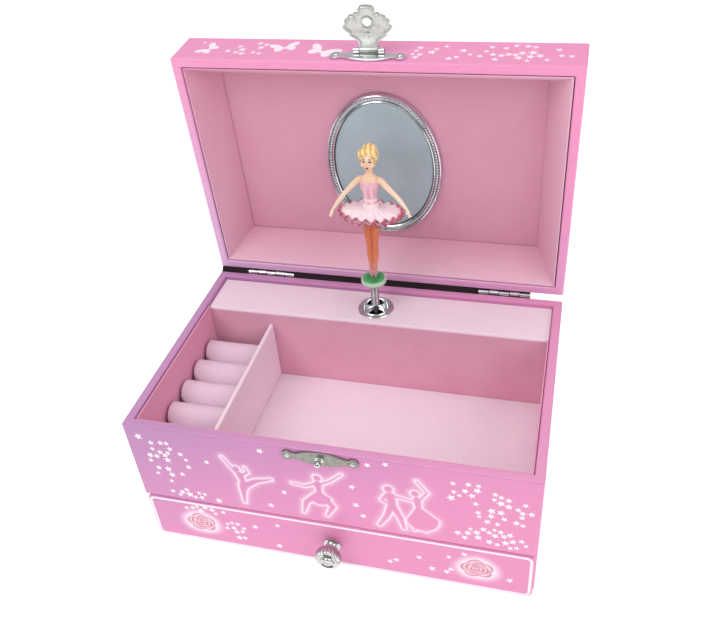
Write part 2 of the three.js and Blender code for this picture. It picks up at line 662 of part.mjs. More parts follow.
function buildDancer() {
  // The close-wound spring is a plain tube here.
  const bore = springRadius - springWire;
  const spring = turnedShape([
    [bore, springFoot], [springRadius, springFoot], [springRadius, springTop], [bore, springTop],
    [bore, springFoot],
  ], 16);
  addTo(model, "dancer_spring", toGeometry(toManifold(spring.translate(0, spindleY, 0))), steel);

  const disc = bar("z", discRadius, discHeight, discTop, [0, spindleY], fineSteps);
  addTo(model, "dancer_disc", disc, green);

  const dancer = new THREE.Group();
  dancer.position.set(0, spindleY, discTop + turned);
  dancer.rotation.y = dancerLean * degrees;
  model.add(dancer);

  // Heights as shares of the figure, which is one moulding.
  const tall = dancerHeight - turned;
  const hip = tall * 0.52;
  const waist = tall * 0.63;
  const shoulder = tall * 0.775;
  const headCentre = tall * 0.91;
  const shoulderX = tall * 0.078;
  const parts = [
    ball([0, 0, tall * 0.012], [tall * 0.05, tall * 0.04, tall * 0.012]),
    limb([0, 0, hip], [0, 0, waist], tall * 0.074, tall * 0.05, 12),
    limb([0, 0, waist], [0, 0, tall * 0.73], tall * 0.05, tall * 0.066, 12),
    limb([0, 0, tall * 0.73], [0, 0, shoulder], tall * 0.066, tall * 0.05, 12),
    limb([0, 0, shoulder - 1], [0, 0, tall * 0.86], tall * 0.022, tall * 0.022, 10),
    ball([0, 0, headCentre], [tall * 0.062, tall * 0.066, tall * 0.088], 14),
    ball([0, tall * 0.05, tall * 0.93], [tall * 0.035, tall * 0.035, tall * 0.035], 10),
  ];
  for (const sign of [-1, 1]) {
    parts.push(limb([sign * tall * 0.014, 0, 0.2], [sign * tall * 0.03, 0, hip + 1], tall * 0.016, tall * 0.034));
    const hand = [sign * armSpread, -tall * 0.03, tall * 0.5];
    const elbow = [sign * armSpread * 0.66, -tall * 0.01, tall * 0.65];
    parts.push(limb([sign * shoulderX, 0, shoulder - 1.6], elbow, tall * 0.024, tall * 0.019, 8));
    parts.push(limb(elbow, hand, tall * 0.019, tall * 0.014, 8));
    parts.push(ball([sign * shoulderX, 0, shoulder - 1.6], [tall * 0.026, tall * 0.026, tall * 0.026], 8));
    parts.push(ball(elbow, [tall * 0.02, tall * 0.02, tall * 0.02], 8));
    parts.push(ball(hand, [tall * 0.022, tall * 0.014, tall * 0.03], 8));
  }
  addTo(dancer, "dancer_body", join(...parts), skin);

  // The tutu is a shallow ruffled ring that clears the hips.
  const tutuInner = tall * 0.08 + turned;
  const drop = tutuHalfDepth * 0.3;
  const tutuFoot = tutuHeight;
  const tutu = turnedShape([
    [tutuInner, tutuFoot + drop], [tutuHalfDepth, tutuFoot], [tutuHalfDepth, tutuFoot + 0.8],
    [tutuInner, tutuFoot + drop + 2], [tutuInner, tutuFoot + drop],
  ], fineSteps);
  const position = tutu.getAttribute("position");
  for (let i = 0; i < position.count; i += 1) {
    const reach = Math.hypot(position.getX(i), position.getY(i));
    const share = (reach - tutuInner) / (tutuHalfDepth - tutuInner);
    const widen = 1 + (share * (tutuHalfWidth - tutuHalfDepth)) / tutuHalfDepth;
    position.setX(i, position.getX(i) * widen);
  }
  addTo(dancer, "dancer_tutu", toGeometry(toManifold(tutu)), skirt);
}

// ---------------------------------------------------------------- movement behind the shelf front
function buildMovement() {
  const backFace = innerY - glue;
  const frameBack = backFace - glue;
  const frameFront = frameBack - frameThickness;
  const cylinderEnd = cylinderStart + cylinderLength;
  const shaftStart = barrelX + barrelRadius - pinionRadius / 2;
  const nearArm = [-4.2, -3];
  const farArm = [cylinderEnd + 1, cylinderEnd + 2.2];
  const wheelX = [farArm[1] + 1.2, farArm[1] + 2.6];
  const wheelRadius = 5.6;
  const wormY = spindleY + wheelRadius + 1.6 + toothGap;
  const wormX = (wheelX[0] + wheelX[1]) / 2;
  const frameX = [barrelX - barrelRadius - 1, wormX + fanRadius + 1.4];
  const frameZ = [trainZ - barrelRadius - 1, shelfUnder - 2];

  // Frame: a stamped plate on the back board with two arms that carry the cylinder's shaft.
  const armY = [spindleY - 3, frameFront + glue];
  const armZ = [trainZ - 3, trainZ + 3];
  const combHeel = [shelfUnder - combShare * spaceHeight, shelfUnder - 3];
  const pieces = [
    slab(frameX, [frameFront, frameBack], frameZ),
    slab(nearArm, armY, armZ),
    slab(farArm, armY, armZ),
    slab([cylinderStart - 1, cylinderEnd + 1], [spindleY + 0.8, frameFront + glue], combHeel),
  ];
  for (const z of [trainZ - 8, trainZ + 13]) {
    pieces.push(slab([wormX - 2.4, wormX + 2.4], [wormY - 2.4, frameFront + glue], [z, z + 1.2]));
  }
  const shaftHole = bar("x", shaftRadius + shaftClearance, nearArm[0] - 1, farArm[1] + 1, [spindleY, trainZ], 12);
  const wormHole = bar("z", 0.5 + shaftClearance, trainZ - 9, trainZ + 15, [wormX, wormY], 12);
  const arborHole = bar(
    "y", arborRadius + arborClearance, frameFront - 1, frameBack + 1, [barrelX, trainZ], roundSteps,
  );
  addTo(model, "movement_frame", cut(join(...pieces), shaftHole, wormHole, arborHole), brass);

  // Spring barrel with a toothed rim, open towards the back, and the mainspring inside it.
  const barrelBack = frameFront - 0.6;
  const barrelFront = spindleY + pinionRadius + toothGap + glue;
  const cup = gearAcross("y", 36, barrelRadius, 0.8, barrelFront, barrelBack, [barrelX, trainZ]);
  const cupWall = 1.2;
  const hollow = bar(
    "y", barrelRadius - 0.8 - cupWall, barrelFront + cupWall, barrelBack + 1, [barrelX, trainZ], fineSteps,
  );
  const arborBore = bar("y", arborRadius + glue, barrelFront - 1, barrelBack + 1, [barrelX, trainZ]);
  addTo(model, "spring_barrel", cut(cup, hollow, arborBore), brass);

  const turns = 4;
  const stripGap = (barrelRadius - 0.8 - cupWall - arborRadius - 1.4) / turns;
  const strip = [];
  const stepsPerTurn = 20;
  const total = turns * stepsPerTurn;
  for (let step = 0; step <= total; step += 1) {
    const angle = (2 * Math.PI * step) / stepsPerTurn;
    const radius = arborRadius + 0.6 + (stripGap * step) / stepsPerTurn;
    strip.push([radius * Math.cos(angle), radius * Math.sin(angle), angle]);
  }
  const outside = strip.map(([x, y, angle]) => [x + 0.4 * Math.cos(angle), y + 0.4 * Math.sin(angle)]);
  const spiral = outline([...strip.map(([x, y]) => [x, y]), ...outside.reverse()]);
  const spring = plate(spiral, barrelFront + cupWall + glue, barrelBack - glue);
  addTo(model, "mainspring", spring.rotateX(-Math.PI / 2).translate(barrelX, 0, trainZ), steel);

  // Winding arbor through the back board, and the key on its end.
  const keyFront = halfDepth + keySetback;
  const arborEnd = keyFront + keyHeight * 0.4;
  const arbor = bar("y", arborRadius, barrelFront - 0.6, arborEnd, [barrelX, trainZ]);
  addTo(model, "winding_arbor", arbor, steel);
  const boss = bar("y", 3.4, keyFront, keyFront + 6, [barrelX, trainZ]);
  const wing = new THREE.Shape();
  wing.moveTo(0, 3);
  wing.quadraticCurveTo(keySpan * 0.2, 3, keySpan * 0.28, keyHeight * 0.3);
  wing.quadraticCurveTo(keySpan * 0.5, keyHeight * 0.3, keySpan / 2, keyHeight * 0.62);
  wing.quadraticCurveTo(keySpan * 0.46, keyHeight, keySpan * 0.28, keyHeight);
  wing.quadraticCurveTo(keySpan * 0.1, keyHeight * 0.96, 0, keyHeight * 0.66);
  wing.quadraticCurveTo(-keySpan * 0.1, keyHeight * 0.96, -keySpan * 0.28, keyHeight);
  wing.quadraticCurveTo(-keySpan * 0.46, keyHeight, -keySpan / 2, keyHeight * 0.62);
  wing.quadraticCurveTo(-keySpan * 0.5, keyHeight * 0.3, -keySpan * 0.28, keyHeight * 0.3);
  wing.quadraticCurveTo(-keySpan * 0.2, 3, 0, 3);
  const wings = plate(wing, -keyThickness / 2, keyThickness / 2, 5).translate(barrelX, keyFront, trainZ);
  const socket = bar("y", arborRadius + glue, keyFront - 1, arborEnd + glue, [barrelX, trainZ]);
  addTo(model, "winding_key", cut(join(boss, wings), socket), chrome);

  // Cylinder with its crown wheel, pinion and governor wheel on one shaft.
  const crownX = cylinderStart - 2.6;
  const line = [spindleY, trainZ];
  const pinion = gearAcross("x", 8, pinionRadius, 0.8, shaftStart, shaftStart + 2.6, line);
  const shaft = bar("x", shaftRadius, shaftStart - 0.6, wheelX[1] + 0.6, line, 12);
  const drum = bar("x", cylinderRadius, cylinderStart, cylinderEnd, line, fineSteps);
  const crown = gearAcross("x", 20, crownRadius, 0.9, crownX, crownX + 1.6, line);
  const governorWheel = gearAcross("x", 20, wheelRadius, 0.7, wheelX[0], wheelX[1], line);
  addTo(model, "melody_cylinder", join(shaft, pinion, drum, crown, governorWheel), brass);

  // Comb: its teeth hang from the heel to just above the cylinder.
  const combX = [cylinderStart, cylinderEnd];
  const pitch = (combX[1] - combX[0]) / combTeeth;
  const tipZ = trainZ + cylinderRadius + 0.6;
  const rootZ = combHeel[0] - 1;
  const teeth = [[combX[0], combHeel[1]]];
  for (let tooth = 0; tooth < combTeeth; tooth += 1) {
    const from = combX[0] + tooth * pitch;
    teeth.push([from, rootZ], [from, tipZ], [from + pitch * 0.7, tipZ], [from + pitch * 0.7, rootZ]);
  }
  teeth.push([combX[1], rootZ], [combX[1], combHeel[1]]);
  const comb = stoodUp(plate(outline(teeth.slice(1).concat([teeth[0]])), 0, 1));
  addTo(model, "melody_comb", comb.translate(0, spindleY + 0.8 - glue, 0), steel);

  // Governor: a worm on an upright spindle with a braking fan.
  const worm = bar("z", 1.5, trainZ - 4, trainZ + 4, [wormX, wormY], 12);
  const wormPin = bar("z", 0.5, trainZ - 8.4, trainZ + 14.6, [wormX, wormY], 12);
  const fan = join(
    bar("z", 1.2, trainZ + 8, trainZ + 11.6, [wormX, wormY], 12),
    slab([wormX - fanRadius, wormX + fanRadius], [wormY - 0.4, wormY + 0.4], [trainZ + 8.4, trainZ + 11.2]),
  );
  addTo(model, "governor", join(worm, wormPin, fan), steel);

  // Upright spindle that carries the dancer's spring.
  const spindleFoot = trainZ + wheelLevel;
  const spindleWheelRadius = crownX - toothGap;
  const rod = bar("z", spindleRadius, spindleFoot, foldHeight - 3, [0, spindleY], 16);
  const spindleWheel = gearAcross(
    "z", 22, spindleWheelRadius, 0.9, spindleFoot + 0.2, spindleFoot + 1.6, [0, spindleY],
  );
  addTo(model, "drive_spindle", join(rod, spindleWheel), steel);
}

buildCase();
buildLining();
buildShelf();
buildRingCompartment();
buildCatch();
buildLid();
buildLidLining();
buildMirror();
buildHinges();
buildHasp();
buildDrawer();
buildDancer();
buildMovement();

export default model;
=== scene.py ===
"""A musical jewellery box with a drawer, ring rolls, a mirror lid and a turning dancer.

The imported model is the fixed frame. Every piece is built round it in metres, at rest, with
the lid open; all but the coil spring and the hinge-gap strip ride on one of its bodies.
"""

import json
import logging
import math
import random
from dataclasses import dataclass
from enum import Enum
from itertools import pairwise
from typing import Callable, Iterable, Sequence

import bmesh
import bpy
from mathutils import Euler, Matrix, Vector


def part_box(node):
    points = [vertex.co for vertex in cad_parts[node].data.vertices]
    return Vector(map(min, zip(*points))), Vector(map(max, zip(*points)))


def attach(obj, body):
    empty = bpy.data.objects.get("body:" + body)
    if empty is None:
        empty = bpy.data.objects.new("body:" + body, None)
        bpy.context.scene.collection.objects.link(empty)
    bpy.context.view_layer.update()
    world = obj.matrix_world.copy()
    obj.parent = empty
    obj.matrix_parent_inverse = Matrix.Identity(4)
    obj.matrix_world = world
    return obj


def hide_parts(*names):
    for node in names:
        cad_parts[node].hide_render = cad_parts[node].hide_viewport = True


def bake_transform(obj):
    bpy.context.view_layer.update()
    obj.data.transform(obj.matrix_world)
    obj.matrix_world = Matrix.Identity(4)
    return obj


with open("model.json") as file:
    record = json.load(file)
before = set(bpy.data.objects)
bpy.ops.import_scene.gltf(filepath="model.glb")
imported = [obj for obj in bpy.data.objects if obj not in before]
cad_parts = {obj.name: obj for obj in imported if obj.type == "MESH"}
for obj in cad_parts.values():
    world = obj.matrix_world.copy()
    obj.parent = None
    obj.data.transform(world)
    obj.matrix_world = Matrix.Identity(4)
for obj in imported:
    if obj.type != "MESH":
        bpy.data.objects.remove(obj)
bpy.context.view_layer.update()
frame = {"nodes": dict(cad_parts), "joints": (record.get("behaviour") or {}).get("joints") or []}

MM = 0.001
Object = bpy.types.Object
Material = bpy.types.Material
Point = tuple[float, float, float]
Colour = tuple[float, float, float, float]
log = logging.getLogger("jewellery_box")


class Body(Enum):
    """The bodies that pieces ride on."""

    CASE = "root"
    LID = "lid"
    HASP = "hasp"
    DRAWER = "drawer"
    SPINDLE = "spindle"
    SPRING = "spring"
    DANCER = "dancer"
    CYLINDER = "cylinder"
    WINDER = "winder"
    GOVERNOR = "governor"


class Slot(Enum):
    """The record's finishes."""

    PAPER = "paper_wrap"
    BOARD = "bare_board"
    FLOCK = "flock_lining"
    PALE_FLOCK = "pale_flock"
    PADDED = "padded_flock"
    CHROME = "chrome_fittings"
    STEEL = "steel_parts"
    WIRE = "spring_wire"
    BRASS = "brass_parts"
    GLASS = "mirror_glass"
    GREEN = "green_plastic"
    DOLL = "dancer_plastic"
    TUTU = "tutu_plastic"


def hue(code: str) -> Colour:
    """Turns a six-digit display colour into the shader's linear one."""
    channels = [int(code[i : i + 2], 16) / 255 for i in (0, 2, 4)]
    r, g, b = (c / 12.92 if c <= 0.04045 else ((c + 0.055) / 1.055) ** 2.4 for c in channels)
    return (r, g, b, 1.0)


# ---------- shaders
class Wire:
    """A shader value that takes arithmetic."""

    def __init__(self, nodes: "Nodes", socket: bpy.types.NodeSocket) -> None:
        """Keeps the tree whose nodes it joins and the socket it comes from."""
        self.nodes = nodes
        self.socket = socket

    def __add__(self, other: "Wire | float") -> "Wire":
        """This plus another value."""
        return self.nodes.maths("ADD", self, other)

    def __sub__(self, other: "Wire | float") -> "Wire":
        """This less another value."""
        return self.nodes.maths("SUBTRACT", self, other)

    def __rsub__(self, other: float) -> "Wire":
        """A number less this."""
        return self.nodes.maths("SUBTRACT", other, self)

    def __mul__(self, other: "Wire | float") -> "Wire":
        """This times another value."""
        return self.nodes.maths("MULTIPLY", self, other)

    __radd__ = __add__
    __rmul__ = __mul__

    def ramp(self, low: float, high: float) -> "Wire":
        """Rises smoothly from 0 at low to 1 at high."""
        settings = {"interpolation_type": "SMOOTHSTEP"}
        inputs = {"Value": self, "From Min": low, "From Max": high}
        return self.nodes.wire("ShaderNodeMapRange", settings, inputs)


class Nodes:
    """A tree of nodes while they are being joined."""

    def __init__(self, tree: bpy.types.NodeTree) -> None:
        """Keeps the tree."""
        self.tree = tree

    def fill(self, socket: bpy.types.NodeSocket, value: "Wire | float | Sequence[float]") -> None:
        """Sets a socket, or joins a wire to it.

        Args:
            socket: the socket.
            value: a number, a colour or a wire.
        """
        if isinstance(value, Wire):
            self.tree.links.new(value.socket, socket)
        else:
            socket.default_value = value

    def node(self, kind: str, settings: dict, inputs: dict) -> bpy.types.Node:
        """Makes one node.

        Args:
            kind: the node's type.
            settings: its options, and "stops" for a ramp's places and colours.
            inputs: its sockets' values or wires, by name or number.

        Returns:
            The node.
        """
        node = self.tree.nodes.new(kind)
        for key, value in settings.items():
            if key == "stops":
                ramp = node.color_ramp
                while len(ramp.elements) < len(value):
                    ramp.elements.new(0.5)
                for element, (place, colour) in zip(ramp.elements, value):
                    element.position = place
                    element.color = colour
            else:
                setattr(node, key, value)
        for key, value in inputs.items():
            self.fill(node.inputs[key], value)
        return node

    def wire(self, kind: str, settings: dict, inputs: dict, output: int | str = 0) -> Wire:
        """Makes one node and returns one of its outputs."""
        return Wire(self, self.node(kind, settings, inputs).outputs[output])

    def maths(self, operation: str, first: "Wire | float", second: "Wire | float") -> Wire:
        """Joins two values with a Math node."""
        return self.wire("ShaderNodeMath", {"operation": operation}, {0: first, 1: second})

    def mix(self, share: "Wire | float", first: "Wire | Colour", second: "Wire | Colour") -> Wire:
        """Goes from the first colour to the second."""
        inputs = {0: share, 6: first, 7: second}
        return self.wire("ShaderNodeMix", {"data_type": "RGBA"}, inputs, 2)


class Surface(Nodes):
    """A material while its nodes are being joined."""

    def __init__(self, name: str) -> None:
        """Starts a material with one plain shader."""
        self.material = bpy.data.materials.new(name)
        self.material.use_nodes = True
        super().__init__(self.material.node_tree)
        self.shader = self.tree.nodes["Principled BSDF"]

    def place(self, stretch: Point = (1, 1, 1), turn: Point = (0, 0, 0)) -> Wire:
        """The piece's own coordinates, stretched and turned."""
        here = self.wire("ShaderNodeTexCoord", {}, {}, "Object")
        inputs = {"Vector": here, "Scale": stretch, "Rotation": turn}
        return self.wire("ShaderNodeMapping", {}, inputs)

    def axis(self, name: str) -> Wire:
        """One coordinate of the piece, in metres."""
        here = self.wire("ShaderNodeTexCoord", {}, {}, "Object")
        return self.wire("ShaderNodeSeparateXYZ", {}, {"Vector": here}, name)

    def noise(
        self, size: float, detail: float = 3, stretch: Point = (1, 1, 1), turn: Point = (0, 0, 0)
    ) -> Wire:
        """Cloudy noise whose features are about size millimetres across."""
        inputs = {"Vector": self.place(stretch, turn), "Scale": 1 / (size * MM), "Detail": detail}
        return self.wire("ShaderNodeTexNoise", {}, inputs)

    def flecks(self, size: float) -> Wire:
        """Distance to scattered points about size millimetres apart."""
        inputs = {"Vector": self.place(), "Scale": 1 / (size * MM)}
        return self.wire("ShaderNodeTexVoronoi", {}, inputs)

    def mark(self, name: str) -> Wire:
        """A number painted on the mesh's points."""
        settings = {"attribute_name": name}
        return self.wire("ShaderNodeAttribute", settings, {}, "Fac")

    def relief(self, height: Wire, strength: float, depth: float) -> Wire:
        """Turns a height into bumps, depth millimetres deep."""
        inputs = {"Height": height, "Strength": strength, "Distance": depth * MM}
        return self.wire("ShaderNodeBump", {}, inputs, "Normal")

    def dress(self, **inputs: "Wire | float | Sequence[float]") -> Material:
        """Sets the shader's sockets, named with underscores for spaces, and gives the material."""
        for key, value in inputs.items():
            self.fill(self.shader.inputs[key.replace("_", " ")], value)
        return self.material


@dataclass(frozen=True)
class WrapPaper:
    """Satin printed paper that runs from mauve to pink over the case or the lid."""

    name: str
    along: float = 4.5  # rise of the pink per metre to the right
    fall: float = 9.5  # rise of the pink per metre down the case
    start: Point = (-0.095, 0.0, 0.08)  # where it is all mauve
    depth_rise: float = 0.0
    mauve: Colour = hue("AF74AB")
    pink: Colour = hue("DE82B3")
    ink: Colour = hue("F8E4F0")
    petal: Colour = hue("AE3F60")
    blush: Colour = hue("F0B9C9")
    rim: float = 0.08  # height of the rim; the top face and the 0.4 mm below it are painted paler, a painted highlight

    def make(self) -> Material:
        """Builds the material."""
        s = Surface(self.name)
        x, y, z = (s.axis(a) for a in "XYZ")
        rise = (x - self.start[0]) * self.along + (self.start[2] - z) * self.fall
        rise = rise + (y - self.start[1]) * self.depth_rise
        cloud = s.noise(34, 3)
        ground = s.mix((rise + cloud * 0.25 - 0.12).ramp(-0.1, 1.05), self.mauve, self.pink)
        grain = s.noise(0.5, 4)
        ground = s.mix(grain.ramp(0.3, 0.75) * 0.07, ground, hue("FFE3F2"))
        ground = s.mix(s.noise(9, 4).ramp(0.45, 0.8) * 0.07, ground, hue("B873AE"))
        # Painted highlight: the top face and the 0.4 mm below the rim height are mixed towards a
        # pale pink.
        ground = s.mix(((z - self.rim) * 2500 + 1).ramp(0, 1) * 0.17, ground, hue("F9CFE6"))
        ground = s.mix(s.mark("blush"), ground, self.blush)
        ground = s.mix(s.mark("ink"), ground, self.ink)
        ground = s.mix(s.mark("petal"), ground, self.petal)
        rough = s.noise(3.5, 3) * 0.16 + 0.3
        bumps = s.relief(grain + s.noise(0.16, 2) * 0.5, 0.16, 0.05)
        return s.dress(
            Base_Color=ground, Roughness=rough, Normal=bumps, Coat_Weight=0.25, Coat_Roughness=0.28
        )


@dataclass(frozen=True)
class Ink:
    """White print, a little uneven where it lies on the paper's grain."""

    name: str
    colour: Colour = hue("FAEAF4")
    thin: Colour = hue("EFC4DD")

    def make(self) -> Material:
        """Builds the material."""
        s = Surface(self.name)
        cover = s.noise(1.6, 3).ramp(0.52, 0.85) * 0.45
        colour = s.mix(cover, self.colour, self.thin)
        return s.dress(
            Base_Color=colour, Roughness=s.noise(2, 2) * 0.1 + 0.35,
            Normal=s.relief(s.noise(0.5, 4), 0.12, 0.04), Coat_Weight=0.2, Coat_Roughness=0.3,
        )


@dataclass(frozen=True)
class Flock:
    """Short velvety pile with a nap that shifts in soft patches."""

    name: str
    base: Colour
    light: Colour
    dark: Colour
    pile: float = 0.22
    marked: Colour = hue("D98FAA")

    def make(self) -> Material:
        """Builds the material."""
        s = Surface(self.name)
        nap = s.noise(16, 4).ramp(0.3, 0.72)
        brushed = s.noise(1.4, 4, (1, 0.3, 1), (0.2, 0.3, 0.9)).ramp(0.35, 0.75)
        fibre = s.noise(self.pile, 3)
        colour = s.mix(s.mark("tint"), self.base, self.marked)
        colour = s.mix(nap * 0.1, colour, self.light)
        colour = s.mix(brushed * 0.05, colour, self.dark)
        colour = s.mix(fibre.ramp(0.35, 0.75) * 0.14, colour, self.light)
        colour = s.mix(s.flecks(0.5).ramp(0.34, 0.05) * 0.05, colour, self.dark)
        bumps = s.relief(fibre + s.noise(0.09, 2) * 0.6 + brushed * 0.2, 0.22, 0.1)
        return s.dress(
            Base_Color=colour, Roughness=0.94 - nap * 0.06, Normal=bumps,
            Sheen_Weight=0.2, Sheen_Roughness=0.45, Sheen_Tint=self.light,
        )


@dataclass(frozen=True)
class Metal:
    """A metal with rubbing, fine marks and cloudy darker patches: faint tarnishing on most parts,
    painted shade and dark reflections on the knob and in the mirror's channel.
    """

    name: str
    base: Colour
    tarnish_and_shade: Colour
    rough: float
    marks: float = 0.05
    grain: Point = (1, 1, 1)

    def make(self) -> Material:
        """Builds the material."""
        s = Surface(self.name)
        cloud = s.noise(2.6, 4).ramp(0.42, 0.8)
        fine = s.noise(0.24, 4, self.grain)
        colour = s.mix(cloud * 0.4, self.base, self.tarnish_and_shade)
        rough = cloud * 0.1 + fine * 0.08 + (self.rough - 0.04)
        bumps = s.relief(fine + s.noise(0.9, 3) * 0.8, self.marks, 0.06)
        return s.dress(Base_Color=colour, Metallic=1.0, Roughness=rough, Normal=bumps)


@dataclass(frozen=True)
class MirrorSilver:
    """Silvered glass painted a flat blue-grey, a painted reflection of dim surroundings, with soft
    paler patches.
    """

    name: str
    # Painted reflection: the blue-grey of dim surroundings, in place of a bright silvered colour.
    base: Colour = hue("A3B9BF")
    bloom: Colour = hue("B3C6CC")

    def make(self) -> Material:
        """Builds the material."""
        s = Surface(self.name)
        haze = s.noise(26, 3).ramp(0.35, 0.75)
        smear = s.noise(1.2, 4, (1, 0.2, 1), (0, 0, 0.6)).ramp(0.5, 0.8)
        colour = s.mix(haze * 0.6, self.base, self.bloom)
        return s.dress(
            Base_Color=colour, Metallic=0.2, Roughness=haze * 0.06 + smear * 0.05 + 0.34,
            Coat_Weight=0.12, Coat_Roughness=0.18,
        )


@dataclass(frozen=True)
class Moulding:
    """Painted or coloured plastic, with a second colour on marked points."""

    name: str
    base: Colour
    shade: Colour
    marked: Colour = (1, 1, 1, 1)
    rough: float = 0.35
    gloss: float = 0.3
    soft: float = 0.0

    def make(self) -> Material:
        """Builds the material."""
        s = Surface(self.name)
        cloud = s.noise(3, 4).ramp(0.35, 0.75)
        colour = s.mix(cloud * 0.35, self.base, self.shade)
        colour = s.mix(s.mark("tint"), colour, self.marked)
        rough = s.noise(0.8, 3) * 0.14 + (self.rough - 0.07)
        return s.dress(
            Base_Color=colour, Roughness=rough, Normal=s.relief(s.noise(0.4, 3), 0.1, 0.04),
            Coat_Weight=self.gloss, Coat_Roughness=0.12, Subsurface_Weight=self.soft,
            Subsurface_Radius=(0.6, 0.3, 0.2), Subsurface_Scale=1.2 * MM,
        )


@dataclass(frozen=True)
class Fibreboard:
    """Bare brown board with pressed fibres."""

    name: str
    base: Colour = hue("B08F68")
    dark: Colour = hue("8A6B49")

    def make(self) -> Material:
        """Builds the material."""
        s = Surface(self.name)
        fibres = s.noise(0.7, 5, (1, 0.35, 1)).ramp(0.35, 0.7)
        colour = s.mix(fibres * 0.6, self.base, self.dark)
        colour = s.mix(s.flecks(2.2).ramp(0.2, 0.02) * 0.5, colour, hue("5E4429"))
        return s.dress(
            Base_Color=colour, Roughness=0.82 - fibres * 0.08,
            Normal=s.relief(fibres + s.noise(0.2, 3), 0.35, 0.1),
        )


class Finishes:
    """Every material of the box, each made once."""

    def __init__(self) -> None:
        """Makes the materials."""
        self.case_paper = WrapPaper("case_paper").make()
        # The lid's mauve, at the hinge end, is paler than the case's: partly the paper's own
        # colour, partly painted light that lifts the shade on the lid's lower rim.
        self.lid_paper = WrapPaper(
            "lid_paper", along=2.6, fall=-7.0, start=(-0.095, 0.062, 0.085),
            mauve=hue("DDB2D9"), pink=hue("ED8FBE"), rim=1.0,
        ).make()
        self.ink = Ink("white_print").make()
        self.flock = Flock("wall_flock", hue("E6A2BE"), hue("EFB0C6"), hue("B4577A")).make()
        # The lid flock's paler marked colour is painted light on the lid walls that face the lamps.
        self.lid_flock = Flock(
            "lid_flock", hue("D99DB4"), hue("EFBBCD"), hue("B4617F"), marked=hue("E8BDCF")
        ).make()
        self.pale = Flock(
            "floor_flock", hue("EBD5E1"), hue("FBE6EF"), hue("D69AB4"), marked=hue("DE9AB4")
        ).make()
        self.padded = Flock(
            "roll_flock", hue("DABFD0"), hue("F6DFEA"), hue("B9657F"), pile=0.2
        ).make()
        self.chrome = Metal("bright_chrome", hue("DCDEE0"), hue("AEB2B5"), 0.13).make()
        self.satin = Metal("satin_nickel", hue("C3C5C0"), hue("8C918B"), 0.34, 0.12).make()
        self.aged = Metal("aged_nickel", hue("8C8F86"), hue("4B4D47"), 0.27, 0.14).make()
        # Knob chrome: its dark cloudy patches are painted dark reflections, so the knob and the
        # catch's nails and stud read dark.
        self.knob = Metal("knob_chrome", hue("C6C8C5"), hue("4A4A46"), 0.12, 0.08).make()
        self.channel = Metal("channel_shadow", hue("A0A6AB"), hue("5A6064"), 0.26).make()
        self.steel = Metal("plain_steel", hue("A9ABAE"), hue("7B7E82"), 0.28, 0.1).make()
        self.wire = Metal("spring_wire", hue("CBCDD0"), hue("8E9195"), 0.16, 0.04).make()
        self.brass = Metal("movement_brass", hue("D9B45E"), hue("9A7434"), 0.26, 0.1).make()
        self.mirror = MirrorSilver("mirror_silver").make()
        self.board = Fibreboard("fibreboard").make()
        # Green plastic's pale marked colour is a painted highlight on the disc's rolled edge.
        self.green = Moulding(
            "green_plastic", hue("1F9A45"), hue("0D6B2C"), hue("C9EBD2"), 0.16, 0.7, 0.1
        ).make()
        self.skin = Moulding(
            "skin_paint", hue("EFC29C"), hue("DFA57F"), hue("FBE8D4"), 0.42, 0.2, 0.1
        ).make()
        self.tights = Moulding(
            "tights_paint", hue("DD8257"), hue("C5623A"), hue("F0A98C"), 0.4, 0.25, 0.1
        ).make()
        # Hair paint's pale marked colour is a painted highlight on the raised strands.
        self.hair = Moulding(
            "hair_paint", hue("D9AB55"), hue("946428"), hue("F5DFA0"), 0.36, 0.3
        ).make()
        self.bodice = Moulding(
            "bodice_paint", hue("DF9CAE"), hue("C57C92"), hue("F7DCE3"), 0.4, 0.3
        ).make()
        self.tutu = Moulding(
            "tutu_plastic", hue("FAE6EB"), hue("F2C6D1"), hue("C4607A"), 0.4, 0.25, 0.2
        ).make()
        # Near-black flock for the strip that paints the shadow in the hinge gap.
        self.gap_shadow = Flock("hinge_gap_shadow", hue("16090F"), hue("3A2530"), hue("080305")).make()
        self.dark = Moulding("dark_paint", hue("2E1D18"), hue("4A2E22"), rough=0.3).make()
        self.lips = Moulding("lip_paint", hue("A82A2E"), hue("7E191D"), rough=0.3).make()


